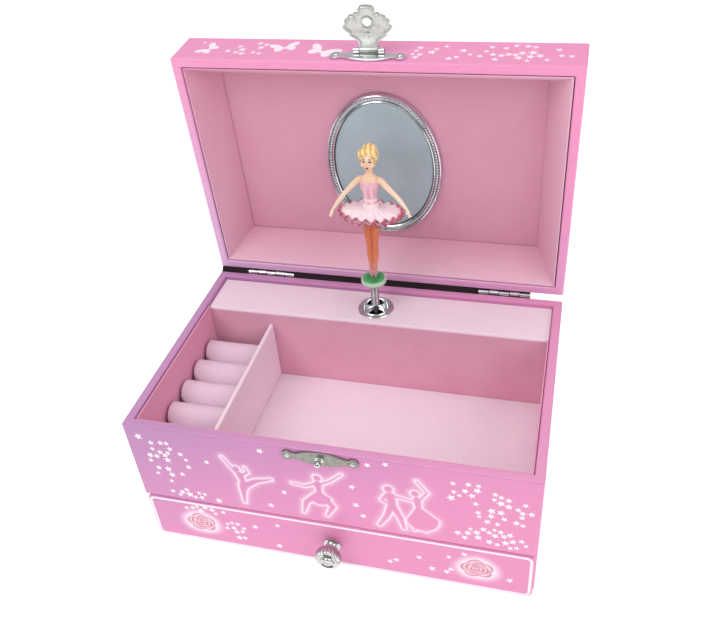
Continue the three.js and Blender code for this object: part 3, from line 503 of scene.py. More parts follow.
# ---------- bench
class Bench:
    """The mesh tools that every piece is made with. Sizes are in millimetres."""

    @staticmethod
    def clear() -> None:
        """Puts everything down."""
        held = bpy.context.object
        if held is not None and held.mode != "OBJECT":
            bpy.ops.object.mode_set(mode="OBJECT")
        bpy.ops.object.select_all(action="DESELECT")

    @staticmethod
    def hold(obj: Object) -> Object:
        """Picks up one piece alone."""
        Bench.clear()
        obj.select_set(True)
        bpy.context.view_layer.objects.active = obj
        return obj

    @staticmethod
    def edit_all() -> None:
        """Goes into edit mode with every point chosen."""
        bpy.ops.object.mode_set(mode="EDIT")
        bpy.ops.mesh.select_mode(type="VERT")
        bpy.ops.mesh.select_all(action="SELECT")

    @staticmethod
    def settle(obj: Object) -> Object:
        """Moves the piece's place, turn and size into its mesh."""
        Bench.hold(obj)
        bpy.ops.object.transform_apply(location=True, rotation=True, scale=True)
        return obj

    @staticmethod
    def place(obj: Object, move: Sequence[float] = (0, 0, 0), turn: Point = (0, 0, 0)) -> Object:
        """Turns a piece by degrees about X, Y and Z, then moves it."""
        obj.location = Vector(move) * MM
        obj.rotation_euler = Euler([math.radians(a) for a in turn])
        return Bench.settle(obj)

    @staticmethod
    def box(name: str, low: Sequence[float], high: Sequence[float]) -> Object:
        """A block between two corners.

        Args:
            name: its name.
            low: its lowest corner.
            high: its highest corner.

        Returns:
            The block.
        """
        Bench.clear()
        low, high = Vector(low), Vector(high)
        bpy.ops.mesh.primitive_cube_add(size=MM, location=(low + high) / 2 * MM)
        obj = bpy.context.object
        obj.name = name
        obj.scale = high - low
        return Bench.settle(obj)

    @staticmethod
    def turned(
        name: str, profile: Sequence[tuple[float, float]], sides: int = 48, loop: bool = False
    ) -> Object:
        """A turned piece about Z, each ring extruded from the one below.

        Args:
            name: its name.
            profile: the rings' radii and heights.
            sides: points round each ring.
            loop: whether the last ring meets the first, as on a hoop.

        Returns:
            The piece, closed.
        """
        Bench.clear()
        radius, height = profile[0]
        bpy.ops.mesh.primitive_circle_add(
            vertices=sides, radius=radius * MM, location=(0, 0, height * MM)
        )
        obj = bpy.context.object
        obj.name = name
        Bench.settle(obj)
        Bench.edit_all()
        for (r0, h0), (r1, h1) in pairwise(profile):
            step = {"value": (0, 0, (h1 - h0) * MM)}
            bpy.ops.mesh.extrude_region_move(TRANSFORM_OT_translate=step)
            bpy.ops.transform.resize(value=(r1 / r0, r1 / r0, 1))
        bpy.ops.mesh.select_all(action="SELECT")
        if loop:
            bpy.ops.mesh.remove_doubles(threshold=0.004 * MM)
        else:
            bpy.ops.mesh.fill_holes(sides=0)
        bpy.ops.mesh.normals_make_consistent(inside=False)
        bpy.ops.object.mode_set(mode="OBJECT")
        return obj

    @staticmethod
    def plate(name: str, outline: Sequence[tuple[float, float]], thickness: float) -> Object:
        """A flat plate in X and Y with the given outline, its back at 0.

        Args:
            name: its name.
            outline: its corners in order.
            thickness: its height over 0.

        Returns:
            The plate, closed.
        """
        Bench.clear()
        bpy.ops.mesh.primitive_circle_add(vertices=len(outline), radius=MM, fill_type="NGON")
        obj = bpy.context.object
        obj.name = name
        for vertex, (x, y) in zip(obj.data.vertices, outline):
            vertex.co = (x * MM, y * MM, 0)
        Bench.edit_all()
        step = {"value": (0, 0, thickness * MM)}
        bpy.ops.mesh.extrude_region_move(TRANSFORM_OT_translate=step)
        bpy.ops.mesh.select_all(action="SELECT")
        bpy.ops.mesh.normals_make_consistent(inside=False)
        bpy.ops.object.mode_set(mode="OBJECT")
        return obj

    @staticmethod
    def rail(
        name: str, path: Sequence[tuple[Vector, Vector]], section: Sequence[tuple[float, float]]
    ) -> Object:
        """A moulding swept round a closed path in X and Y.

        Args:
            name: its name.
            path: points with their outward directions.
            section: the moulding's outline, as distances out from the path and up.

        Returns:
            The closed hoop.
        """
        Bench.clear()
        bpy.ops.mesh.primitive_torus_add(
            major_segments=len(path), minor_segments=len(section),
            major_radius=10 * MM, minor_radius=MM,
        )
        obj = bpy.context.object
        obj.name = name
        for step, (spot, outward) in enumerate(path):
            for knot, (out, up) in enumerate(section):
                vertex = obj.data.vertices[step * len(section) + knot]
                vertex.co = (spot + outward * out + Vector((0, 0, up))) * MM
        return Bench.face_out(obj)

    @staticmethod
    def face_out(obj: Object) -> Object:
        """Turns every face of a closed piece outwards."""
        Bench.hold(obj)
        Bench.edit_all()
        bpy.ops.mesh.normals_make_consistent(inside=False)
        bpy.ops.object.mode_set(mode="OBJECT")
        return obj

    @staticmethod
    def copy(obj: Object, name: str) -> Object:
        """A second piece with its own mesh."""
        twin = bpy.data.objects.new(name, obj.data.copy())
        bpy.context.scene.collection.objects.link(twin)
        return twin

    @staticmethod
    def from_node(node: str, name: str) -> Object:
        """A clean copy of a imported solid, its faces joined and its flats made whole.

        Args:
            node: the solid's name.
            name: the copy's name.

        Returns:
            The copy.
        """
        obj = Bench.copy(frame["nodes"][node], name)
        obj.data.materials.clear()
        Bench.hold(obj)
        bpy.ops.mesh.customdata_custom_splitnormals_clear()
        Bench.edit_all()
        bpy.ops.mesh.remove_doubles(threshold=0.002 * MM)
        bpy.ops.mesh.dissolve_limited(angle_limit=math.radians(1))
        bpy.ops.object.mode_set(mode="OBJECT")
        return obj

    @staticmethod
    def pick_edges(obj: Object, test: Callable[[Vector, Vector], bool]) -> None:
        """Goes into edit mode with only the edges chosen whose two ends pass a test.

        Args:
            obj: the piece.
            test: takes an edge's two ends.
        """
        Bench.hold(obj)
        bpy.ops.object.mode_set(mode="EDIT")
        bpy.ops.mesh.select_mode(type="EDGE")
        bpy.ops.mesh.select_all(action="DESELECT")
        mesh = bmesh.from_edit_mesh(obj.data)
        for edge in mesh.edges:
            if test(edge.verts[0].co / MM, edge.verts[1].co / MM):
                edge.select_set(True)
        bmesh.update_edit_mesh(obj.data)

    @staticmethod
    def round_off(width: float, steps: int = 3) -> None:
        """Rounds the chosen edges and leaves edit mode."""
        bpy.ops.mesh.bevel(offset=width * MM, segments=steps, affect="EDGES", clamp_overlap=True)
        bpy.ops.object.mode_set(mode="OBJECT")

    @staticmethod
    def modify(obj: Object, kind: str, **settings: object) -> Object:
        """Adds a modifier and applies it.

        Args:
            obj: the piece.
            kind: the modifier's type.
            settings: its options.

        Returns:
            The piece.
        """
        Bench.hold(obj)
        modifier = obj.modifiers.new(kind.lower(), kind)
        for key, value in settings.items():
            setattr(modifier, key, value)
        bpy.ops.object.modifier_apply(modifier=modifier.name)
        return obj

    @staticmethod
    def soften(obj: Object, width: float, steps: int = 2, angle: float = 35) -> Object:
        """Rounds every sharp edge and smooths the shading over it.

        Args:
            obj: the piece.
            width: how much is rounded.
            steps: faces across a rounded edge.
            angle: the least angle, in degrees, that counts as sharp.

        Returns:
            The piece.
        """
        Bench.modify(
            obj, "BEVEL", width=width * MM, segments=steps, limit_method="ANGLE",
            angle_limit=math.radians(angle), use_clamp_overlap=True,
        )
        Bench.smooth(obj)
        return Bench.modify(obj, "WEIGHTED_NORMAL", keep_sharp=True)

    @staticmethod
    def smooth(obj: Object, angle: float = 40) -> Object:
        """Shades smoothly over everything but sharp corners."""
        Bench.hold(obj)
        bpy.ops.object.shade_smooth_by_angle(angle=math.radians(angle))
        return obj

    @staticmethod
    def cut(obj: Object, *cutters: Object) -> Object:
        """Takes the cutters out of a piece.

        Args:
            obj: the piece.
            cutters: closed shapes, used up here.

        Returns:
            The piece.
        """
        for cutter in cutters:
            Bench.modify(obj, "BOOLEAN", operation="DIFFERENCE", object=cutter, solver="EXACT")
            bpy.data.objects.remove(cutter)
        return obj

    @staticmethod
    def fuse(obj: Object, *others: Object) -> Object:
        """Makes one closed body of several that overlap.

        Args:
            obj: the piece.
            others: closed shapes, used up here.

        Returns:
            The piece.
        """
        for other in others:
            Bench.modify(obj, "BOOLEAN", operation="UNION", object=other, solver="EXACT")
            bpy.data.objects.remove(other)
        return obj

    @staticmethod
    def gather(name: str, pieces: Sequence[Object]) -> Object:
        """Joins pieces into one object without changing them.

        Args:
            name: the new name.
            pieces: the objects.

        Returns:
            The joined object.
        """
        Bench.clear()
        for piece in pieces:
            piece.select_set(True)
        bpy.context.view_layer.objects.active = pieces[0]
        if len(pieces) > 1:
            bpy.ops.object.join()
        pieces[0].name = name
        return pieces[0]

    @staticmethod
    def scatter(name: str, pattern: Object, places: Iterable[Matrix]) -> Object:
        """Copies a small piece to many places, given in metres, and joins the copies.

        Args:
            name: the new name.
            pattern: the piece, used up here.
            places: where the copies go.

        Returns:
            The joined copies.
        """
        copies = []
        for place in places:
            twin = Bench.copy(pattern, name)
            twin.data.transform(place)
            copies.append(twin)
        bpy.data.objects.remove(pattern)
        return Bench.gather(name, copies)

    @staticmethod
    def melt(name: str, pieces: Sequence[Object], grain: float, passes: int = 6) -> Object:
        """Flows several overlapping shapes into one smooth moulding.

        Args:
            name: the new name.
            pieces: the shapes.
            grain: the finest detail that stays.
            passes: how often it is smoothed.

        Returns:
            The moulding.
        """
        obj = Bench.gather(name, pieces)
        Bench.modify(obj, "REMESH", mode="VOXEL", voxel_size=grain * MM)
        Bench.modify(obj, "SMOOTH", factor=0.5, iterations=passes)
        Bench.hold(obj)
        bpy.ops.object.shade_smooth()
        return obj

    @staticmethod
    def paint(obj: Object, mark: str, value: Callable[[Vector], float]) -> None:
        """Writes a number on every point of a mesh, worked out from its place.

        Args:
            obj: the piece.
            mark: the number's name.
            value: takes a place in millimetres.
        """
        layer = obj.data.attributes.get(mark) or obj.data.attributes.new(mark, "FLOAT", "POINT")
        for vertex, cell in zip(obj.data.vertices, layer.data):
            cell.value = max(0.0, min(1.0, value(vertex.co / MM)))


def deliver(
    obj: Object, body: Body, finish: Material, stands_for: Sequence[str] = ()
) -> Object:
    """Finishes a piece: its material, its body and the nodes it stands for.

    Args:
        obj: the piece.
        body: the body it rides on.
        finish: its material.
        stands_for: the nodes it replaces.

    Returns:
        The piece.
    """
    obj.data.materials.clear()
    obj.data.materials.append(finish)
    for polygon in obj.data.polygons:
        polygon.material_index = 0
    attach(obj, body.value)
    if stands_for:
        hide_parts(*stands_for)
    log.info("%s: %d faces on %s", obj.name, len(obj.data.polygons), body.value)
    return obj


def span(spots: Sequence[Sequence[float]]) -> tuple[Vector, Vector]:
    """The lowest and highest corners round some points."""
    low = Vector([min(spot[i] for spot in spots) for i in range(3)])
    high = Vector([max(spot[i] for spot in spots) for i in range(3)])
    return low, high


def extent(*nodes: str) -> tuple[Vector, Vector]:
    """The box round some nodes, in millimetres."""
    low, high = span([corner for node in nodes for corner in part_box(node)])
    return low / MM, high / MM


def joint_named(name: str) -> dict:
    """The frame's joint of that name."""
    return next(joint for joint in frame["joints"] if joint["name"] == name)


def dress_copy(
    node: str, body: Body, finish: Material, width: float = 0.25, steps: int = 2
) -> Object:
    """Replaces a node by a copy with rounded edges.

    Args:
        node: the node's name.
        body: its body.
        finish: its material.
        width: how much its edges are rounded.
        steps: faces across a rounded edge.

    Returns:
        The copy.
    """
    obj = Bench.from_node(node, f"{node}_made")
    Bench.soften(obj, width, steps)
    return deliver(obj, body, finish, [node])


def rounded_panel(
    low: Sequence[float], high: Sequence[float], radius: float, steps: int = 8
) -> list[tuple[Vector, Vector]]:
    """Walks round a flat panel with rounded corners.

    Args:
        low: its lowest corner.
        high: its highest corner.
        radius: its corners' radius.
        steps: lengths round each corner.

    Returns:
        Points with their outward directions.
    """
    path = []
    corners = [(high, 0), ((low[0], high[1]), 90), (low, 180), ((high[0], low[1]), 270)]
    for (x, y), start in corners:
        centre = Vector((
            x + math.copysign(radius, (low[0] + high[0]) / 2 - x),
            y + math.copysign(radius, (low[1] + high[1]) / 2 - y), 0,
        ))
        for step in range(steps + 1):
            angle = math.radians(start + 90 * step / steps)
            outward = Vector((math.cos(angle), math.sin(angle), 0))
            path.append((centre + outward * radius, outward))
    return path


# ---------- printing
@dataclass(frozen=True)
class Sheet:
    """A flat printed face: a corner point, its two directions and the way it faces."""

    corner: Vector
    across: Vector
    up: Vector

    @property
    def out(self) -> Vector:
        """The way the face looks."""
        return self.across.cross(self.up)

    def spot(self, u: float, v: float, lift: float, turn: float = 0, scale: float = 1) -> Matrix:
        """Where a flat piece made in X and Y lands on this face, in metres.

        Args:
            u: distance across the face.
            v: height on it.
            lift: distance out from it.
            turn: degrees.
            scale: size.

        Returns:
            The transform.
        """
        sway = Matrix.Rotation(math.radians(turn), 4, "Z") @ Matrix.Scale(scale, 4)
        basis = Matrix((self.across, self.up, self.out)).transposed().to_4x4()
        middle = (self.corner + self.across * u + self.up * v + self.out * lift) * MM
        return Matrix.Translation(middle) @ basis @ sway


@dataclass(frozen=True)
class Limb:
    """A tapering stroke between two points of a printed figure."""

    x0: float
    y0: float
    x1: float
    y1: float
    start: float
    end: float

    def distance(self, x: float, y: float) -> float:
        """How far a point lies outside the stroke."""
        dx, dy = self.x1 - self.x0, self.y1 - self.y0
        length = dx * dx + dy * dy or 1e-9
        t = max(0.0, min(1.0, ((x - self.x0) * dx + (y - self.y0) * dy) / length))
        reach = math.hypot(x - self.x0 - t * dx, y - self.y0 - t * dy)
        return reach - self.start - t * (self.end - self.start)


def chain(*knots: tuple[float, float, float]) -> list[Limb]:
    """Strokes through points given as x, y and half-width."""
    return [Limb(a[0], a[1], b[0], b[1], a[2], b[2]) for a, b in pairwise(knots)]


class Figures:
    """Generic dancing figures, drawn in millimetres about the middle of the feet."""

    ARABESQUE = [
        *chain((0, 24.4, 1.7), (0.1, 24.2, 1.8)),
        *chain((0.6, 22.2, 0.8), (1.4, 20.6, 1.9), (2.2, 16.4, 1.4), (2.0, 12.6, 2.3)),
        *chain((1.7, 12.6, 2.0), (1.2, 7.4, 1.3), (0.8, 1.2, 0.55)),
        *chain((2.6, 13.4, 2.0), (8.8, 17.8, 1.3), (16.6, 20.6, 0.5)),
        *chain((0.6, 20.8, 0.8), (-2.2, 25.2, 0.6), (-5.6, 31.4, 0.45)),
        *chain((2.0, 20.4, 0.8), (5.4, 23.0, 0.6), (4.6, 26.2, 0.4)),
    ]
    LEAP = [
        *chain((0, 26.6, 1.7), (0.1, 26.4, 1.8)),
        *chain((0, 24.2, 0.8), (0, 22.4, 2.0), (0.2, 17.8, 1.3), (0.2, 14.8, 2.2)),
        *chain((-0.8, 14.6, 2.0), (-6.8, 8.8, 1.4), (-8.8, 0.8, 0.5)),
        *chain((1.0, 14.6, 2.0), (5.8, 8.2, 1.4), (2.6, 1.0, 0.55)),
        *chain((-1.2, 22.4, 0.8), (-6.2, 19.8, 0.6), (-12.2, 20.6, 0.45)),
        *chain((1.2, 22.6, 0.8), (6.0, 25.6, 0.6), (11.6, 31.2, 0.45)),
        *chain((0, 16.0, 1.6), (0.2, 13.4, 5.2)),
    ]
    COUPLE = [
        *chain((-7.6, 26.4, 1.9), (-7.5, 26.2, 2.0)),
        *chain((-7.0, 23.8, 0.9), (-6.8, 22.0, 2.3), (-6.2, 15.4, 2.0)),
        *chain((-6.8, 14.6, 1.7), (-9.0, 7.6, 1.3), (-12.6, 0.8, 0.8)),
        *chain((-5.6, 14.6, 1.7), (-2.6, 7.6, 1.3), (-1.2, 0.8, 0.8)),
        *chain((-8.6, 22.2, 0.9), (-10.6, 18.6, 0.8), (-7.8, 16.2, 0.6)),
        *chain((-5.0, 22.2, 0.8), (0.0, 21.2, 0.6), (3.6, 20.6, 0.5)),
        *chain((4.2, 26.0, 1.7), (4.3, 25.8, 1.8)),
        *chain((4.8, 23.6, 0.8), (5.2, 21.6, 1.8), (5.6, 17.0, 1.3)),
        *chain((5.6, 16.4, 1.4), (7.2, 8.6, 7.4)),
        *chain((5.0, 8.0, 1.0), (3.6, 0.8, 0.5)),
        *chain((8.0, 8.0, 1.0), (8.8, 0.8, 0.5)),
        *chain((6.2, 21.8, 0.7), (9.6, 27.4, 0.6), (5.2, 34.2, 0.45)),
    ]


class Print:
    """Printed work on one face: stars, glowing figures, roses and butterflies."""

    INK = 0.05  # thickness of a printed shape
    LIFT = 0.03  # a glow's height over the paper
    LINE = 1.3  # width of a printed line
    TRIES = 8  # throws for each star of a cluster
    SPACING = 0.78  # least distance between two stars, as a share of their radii together
    FIGURE_HALF = (19, 20)  # half the size of a figure's patch
    FIGURE_MIDDLE = 17  # height of the patch's middle over the feet
    FIGURE_STEP = 0.36  # distance between the patch's points
    ROSE_HALF = (11, 9.3)  # half the size of a rose's patch
    ROSE_STEP = 0.24
    ROSE_HEIGHT = 0.84  # a rose's height as a share of its width
    PETALS = ((0.9, 2), (2.1, 3), (3.5, 4), (5.1, 5))  # each ring's radius and count
    STAR_WAIST = 0.46  # a star's inner radius as a share of the outer

    def __init__(
        self, name: str, sheet: Sheet, body: Body, paper: Material, ink: Material, seed: int
    ) -> None:
        """Keeps the face, the body it rides on, its paper and its ink.

        Args:
            name: what the pieces' names start with.
            sheet: the face.
            body: its body.
            paper: the material under the print.
            ink: the print's material.
            seed: for the stars.
        """
        self.name = name
        self.sheet = sheet
        self.body = body
        self.paper = paper
        self.ink = ink
        self.dice = random.Random(seed)
        self.stars: list[Matrix] = []
        self.glows: list[Object] = []
        self.shapes: list[Object] = []

    def star(self, u: float, v: float, size: float) -> None:
        """Puts one star of that radius at a place on the face."""
        turn = self.dice.uniform(0, 72)
        self.stars.append(self.sheet.spot(u, v, self.LIFT, turn, size))

    def cluster(self, u: float, v: float, wide: float, high: float, count: int) -> None:
        """Scatters stars inside an oval, larger towards its middle.

        Args:
            u: the middle's distance across.
            v: its height.
            wide: half the oval's width.
            high: half its height.
            count: the most stars.
        """
        placed: list[tuple[float, float, float]] = []
        for _ in range(count * self.TRIES):
            angle = self.dice.uniform(0, 2 * math.pi)
            reach = math.sqrt(self.dice.random())
            size = self.dice.uniform(1.3, 1.9) + 0.6 * (1 - reach)
            x, y = u + wide * reach * math.cos(angle), v + high * reach * math.sin(angle)
            clear = all(
                math.dist((x, y), (a, b)) > self.SPACING * (size + c) for a, b, c in placed
            )
            if clear and len(placed) < count:
                placed.append((x, y, size))
                self.star(x, y, size)

    def clusters(self, *ovals: tuple[float, float, float, float, int]) -> None:
        """Scatters several clusters."""
        for oval in ovals:
            self.cluster(*oval)

    def singles(self, largest: float, *places: tuple[float, float]) -> None:
        """Puts single stars of uneven size at places on the face."""
        for u, v in places:
            self.star(u, v, self.dice.uniform(1.5, largest))

    def glow(
        self, u: float, v: float, half: tuple[float, float], marks: dict[str, Callable], step: float
    ) -> None:
        """Lays a fine patch of paper whose points carry the print's strength.

        Args:
            u: the middle's distance across.
            v: its height.
            half: half its width and height.
            marks: for each mark, its strength at x and y.
            step: distance between points.
        """
        Bench.clear()
        across, high = (max(8, round(2 * h / step)) for h in half)
        bpy.ops.mesh.primitive_grid_add(x_subdivisions=across, y_subdivisions=high, size=2 * MM)
        patch = bpy.context.object
        patch.scale = (half[0], half[1], 1)
        Bench.settle(patch)
        for mark, value in marks.items():
            Bench.paint(patch, mark, lambda p, value=value: value(p.x, p.y))
        Bench.modify(patch, "SOLIDIFY", thickness=self.LIFT * MM, offset=-1)
        patch.data.transform(self.sheet.spot(u, v, self.LIFT))
        self.glows.append(patch)

    def figure(self, u: float, v: float, limbs: list[Limb], scale: float = 1) -> None:
        """Draws a figure as a white outline that glows outwards.

        Args:
            u: distance across the face.
            v: height of the feet.
            limbs: the strokes.
            scale: size.
        """
        half = (self.FIGURE_HALF[0] * scale, self.FIGURE_HALF[1] * scale)
        rise = self.FIGURE_MIDDLE

        def strength(x: float, y: float) -> float:
            """The white at a point of the patch."""
            x, y = x / scale, y / scale + rise
            reach = min(limb.distance(x, y) for limb in limbs) * scale
            line = math.exp(-(((reach - 0.45) / 0.5) ** 2))
            halo = 0.42 * math.exp(-((max(reach, 0) / 1.9) ** 2)) if reach > 0 else 0
            inner = 0.3 * math.exp(-((reach / 0.5) ** 2)) if reach <= 0 else 0
            return max(line * 0.95, halo, inner)

        self.glow(u, v + rise * scale, half, {"ink": strength}, self.FIGURE_STEP)

    def rose(self, u: float, v: float, scale: float = 1) -> None:
        """Draws a rose of ruffled petals in a white glow.

        Args:
            u: the middle's distance across.
            v: its height.
            scale: size.
        """

        def polar(x: float, y: float) -> tuple[float, float]:
            """Distance and direction from the rose's middle, seen a little from the side."""
            x, y = x / scale, (y + 0.12 * abs(x)) / scale / self.ROSE_HEIGHT
            return math.hypot(x, y), math.atan2(y, x)

        def petals(x: float, y: float) -> float:
            """The petals' dark edges."""
            r, a = polar(x, y)
            edge = 0.0
            for ring, (radius, count) in enumerate(self.PETALS):
                wave = abs(math.sin(count * (a + ring * 1.3) / 2)) ** 0.6
                line = radius * (0.84 + 0.22 * wave)
                width = 0.2 + 0.16 * wave
                edge = max(edge, math.exp(-(((r - line) / width) ** 2)) * (0.5 + 0.4 * wave))
            return edge * (1 if r < 6.2 else 0)

        def blush(x: float, y: float) -> float:
            """The pale pink of the petals."""
            r, _ = polar(x, y)
            return max(0.0, min(1.0, (6.4 - r) / 0.9)) * 0.95

        def halo(x: float, y: float) -> float:
            """The white glow, and light on the petals' outer lips."""
            r, a = polar(x, y)
            outside = math.exp(-((max(r - 5.6, 0) / 2.1) ** 2)) if r > 5.2 else 0
            lip = 0.5 * abs(math.sin(2.5 * a + r * 1.6)) ** 3 if r < 5.2 else 0
            fade = max(0.0, min(1.0, (10.6 - r) / 1.5))
            return max(outside * 0.9, lip) * fade

        half = (self.ROSE_HALF[0] * scale, self.ROSE_HALF[1] * scale)
        marks = {"blush": blush, "ink": halo, "petal": petals}
        self.glow(u, v, half, marks, self.ROSE_STEP)

    def butterfly(self, u: float, v: float, turn: float, scale: float = 1) -> None:
        """Prints a butterfly of four wings and a slim body.

        Args:
            u: the middle's distance across.
            v: its height.
            turn: degrees.
            scale: size.
        """
        wing = [
            (0.3, 0.2), (1.4, 1.9), (3.0, 3.1), (4.4, 3.3), (4.9, 2.5), (4.3, 1.2), (3.1, 0.3),
            (3.4, -0.6), (3.3, -1.8), (2.4, -2.5), (1.3, -2.1), (0.5, -0.9),
        ]
        outline = wing + [(-x, y) for x, y in reversed(wing)]
        shape = Bench.plate(f"{self.name}_butterfly", outline, self.INK)
        shape.data.transform(self.sheet.spot(u, v, self.LIFT, turn, scale))
        self.shapes.append(shape)

    def border(self, low: tuple[float, float], high: tuple[float, float], radius: float) -> None:
        """Prints a line with rounded corners just inside a panel's edge.

        Args:
            low: its lowest corner.
            high: its highest corner.
            radius: its corners' radius.
        """
        wide = -self.LINE
        section = [(0, 0), (0, self.INK), (wide, self.INK), (wide, 0)]
        line = Bench.rail(f"{self.name}_line", rounded_panel(low, high, radius), section)
        line.data.transform(self.sheet.spot(0, 0, self.LIFT))
        self.shapes.append(line)

    def finish(self) -> None:
        """Joins what has been printed and lays it on the face."""
        if self.stars:
            outline = []
            for point in range(10):
                angle = math.pi / 2 + point * math.pi / 5
                reach = 1.0 if point % 2 == 0 else self.STAR_WAIST
                outline.append((reach * math.cos(angle), reach * math.sin(angle)))
            star = Bench.plate(f"{self.name}_star", outline, self.INK)
            stars = Bench.scatter(f"{self.name}_stars", star, self.stars)
            deliver(stars, self.body, self.ink)
        if self.shapes:
            shapes = Bench.gather(f"{self.name}_shapes", self.shapes)
            deliver(shapes, self.body, self.ink)
        if self.glows:
            glows = Bench.gather(f"{self.name}_glow", self.glows)
            deliver(glows, self.body, self.paper)


# ---------- case
@dataclass
class Case:
    """The paper-covered case: walls, boards, lining, shelf, divider and its printed face."""

    finishes: Finishes
    edge: float = 0.8
    bore_radius: float = 2.8
    shelf_round: float = 1.5
    shelf_edge: float = 0.35
    grommet_hole: float = 8.1

    def build(self) -> None:
        """Makes the whole case."""
        self.build_shell()
        self.build_boards()
        self.build_lining()
        self.build_shelf()
        self.build_grommet()
        self.print_faces()

    def build_shell(self) -> None:
        """Covers the four walls with one wrap, open at the drawer."""
        walls = ["base_left", "base_right", "base_back", "base_front"]
        low, high = extent(*walls)
        inner_x = -extent("base_left")[1].x
        inner_y = extent("base_back")[0].y
        mouth_top = extent("base_front")[0].z
        shell = Bench.box("case_shell", low, high)
        room = Bench.box("room", (-inner_x, -inner_y, -5), (inner_x, inner_y, high.z + 5))
        mouth = Bench.box("mouth", (low.x - 5, low.y - 5, -5), (high.x + 5, -inner_y, mouth_top))
        gate = Bench.box("gate", (-inner_x, low.y - 5, -5), (inner_x, 2 - inner_y, mouth_top))
        arbor_low, arbor_high = extent("winding_arbor")
        arbor = (arbor_low + arbor_high) / 2
        bore = Bench.turned("bore", [(self.bore_radius, 0), (self.bore_radius, 12)], 32)
        Bench.place(bore, (arbor.x, high.y + 4, arbor.z), (90, 0, 0))
        Bench.cut(shell, gate, room, mouth, bore)
        Bench.soften(shell, self.edge, 3)
        deliver(shell, Body.CASE, self.finishes.case_paper, walls)

    def build_boards(self) -> None:
        """Dresses the bottom board and the floor between drawer and compartments."""
        board = self.finishes.board
        dress_copy("base_bottom", Body.CASE, board, 0.4)
        dress_copy("compartment_floor", Body.CASE, board, 0.3)

    def build_lining(self) -> None:
        """Flocks the walls, the floor and the divider."""
        flock, pale = self.finishes.flock, self.finishes.pale
        for side in ("left", "right", "front"):
            dress_copy(f"lining_{side}", Body.CASE, flock, 0.35, 3)
        dress_copy("lining_floor", Body.CASE, pale, 0.25)
        dress_copy("divider", Body.CASE, pale, 0.9, 4)

    def build_shelf(self) -> None:
        """Covers the shelf and its front with flock turned over one rounded edge."""
        low, high = extent("shelf_top", "shelf_front")
        front_high = extent("shelf_front")[1]
        top_low = extent("shelf_top")[0]
        grommet_low, grommet_high = extent("spindle_grommet")
        middle = (grommet_low + grommet_high) / 2
        shelf = Bench.box("shelf_cover", low, high)
        under = Bench.box(
            "under", (low.x - 5, front_high.y, low.z - 5), (high.x + 5, high.y + 5, top_low.z)
        )
        radius = self.grommet_hole
        hole = Bench.turned("hole", [(radius, high.z - 9), (radius, high.z + 5)], 64)
        Bench.cut(shelf, under, Bench.place(hole, (middle.x, middle.y, 0)))

        def at_front(a: Vector, b: Vector) -> bool:
            """Whether an edge is the long one at the front of the top."""
            return all(abs(p.y - low.y) < 0.01 and abs(p.z - high.z) < 0.01 for p in (a, b))

        Bench.pick_edges(shelf, at_front)
        Bench.round_off(self.shelf_round, 6)
        Bench.soften(shelf, self.shelf_edge, 2, 40)
        turned_over = self.shelf_round * 0.8
        Bench.paint(shelf, "tint", lambda p: (high.z - p.z - 0.5) / turned_over)
        nodes = ["shelf_top", "shelf_front"]
        deliver(shelf, Body.CASE, self.finishes.pale, nodes)

    def build_grommet(self) -> None:
        """Turns the bright ring round the hole in the shelf."""
        low, high = extent("spindle_grommet")
        top = extent("shelf_top")[1].z
        middle = (low + high) / 2
        base = low.z - top
        profile = [
            (4.3, base), (7.9, base), (7.9, 0.15), (9.35, 0.15), (9.4, 0.35),
            (9.2, 0.62), (8.8, 0.78), (8.3, 0.72), (8.0, 0.6), (7.8, 0.66), (7.62, 0.98),
            (7.4, 1.18), (7.1, 1.18), (6.92, 0.98), (6.85, 0.6), (6.8, base + 1.3),
            (6.4, base + 0.75), (5.4, base + 0.5), (4.3, base + 0.35), (4.3, base),
        ]
        ring = Bench.turned("grommet_ring", profile, 96, loop=True)
        Bench.smooth(Bench.place(ring, (middle.x, middle.y, top)), 30)
        deliver(ring, Body.CASE, self.finishes.chrome, ["spindle_grommet"])

    def print_faces(self) -> None:
        """Prints the front, the sides and the back."""
        low, high = extent("base_left", "base_right", "base_back", "base_front")
        ink, paper = self.finishes.ink, self.finishes.case_paper
        along, up = Vector((1, 0, 0)), Vector((0, 0, 1))
        front = Print(
            "front_print", Sheet(Vector((0, low.y, 0)), along, up), Body.CASE, paper, ink, 11
        )
        front.figure(-42, 36, Figures.ARABESQUE)
        front.figure(-3, 36, Figures.LEAP)
        front.figure(37, 36, Figures.COUPLE)
        front.clusters(
            (-77, 58, 11, 14, 21), (-70, 37, 9, 3, 9), (79, 59, 12, 12, 22), (76, 40, 15, 6, 20),
            (63, 70, 8, 5, 8),
        )
        front.singles(
            2.3, (-28, 75), (-28, 38), (-56, 62), (-20, 49), (21, 76), (29, 78), (14, 48),
            (17, 41), (57, 63), (60, 40), (-88, 73), (-55, 35), (13, 60),
        )
        front.finish()
        sides = {
            "left": Sheet(Vector((low.x, 0, 0)), Vector((0, -1, 0)), up),
            "right": Sheet(Vector((high.x, 0, 0)), Vector((0, 1, 0)), up),
        }
        for number, (name, sheet) in enumerate(sides.items()):
            side = Print(f"{name}_print", sheet, Body.CASE, paper, ink, 21 + number)
            side.clusters((-38, 55, 14, 12, 14), (36, 22, 16, 9, 14), (8, 66, 20, 7, 9))
            side.figure(2, 22, Figures.LEAP if number else Figures.ARABESQUE, 1.15)
            side.rose(-40, 17, 1.1)
            side.finish()
        back = Print(
            "back_print", Sheet(Vector((0, high.y, 0)), -along, up), Body.CASE, paper, ink, 31
        )
        back.clusters((-72, 48, 14, 14, 18), (72, 22, 14, 12, 18), (-30, 18, 14, 9, 9))
        back.rose(70, 50, 1.2)
        back.finish()


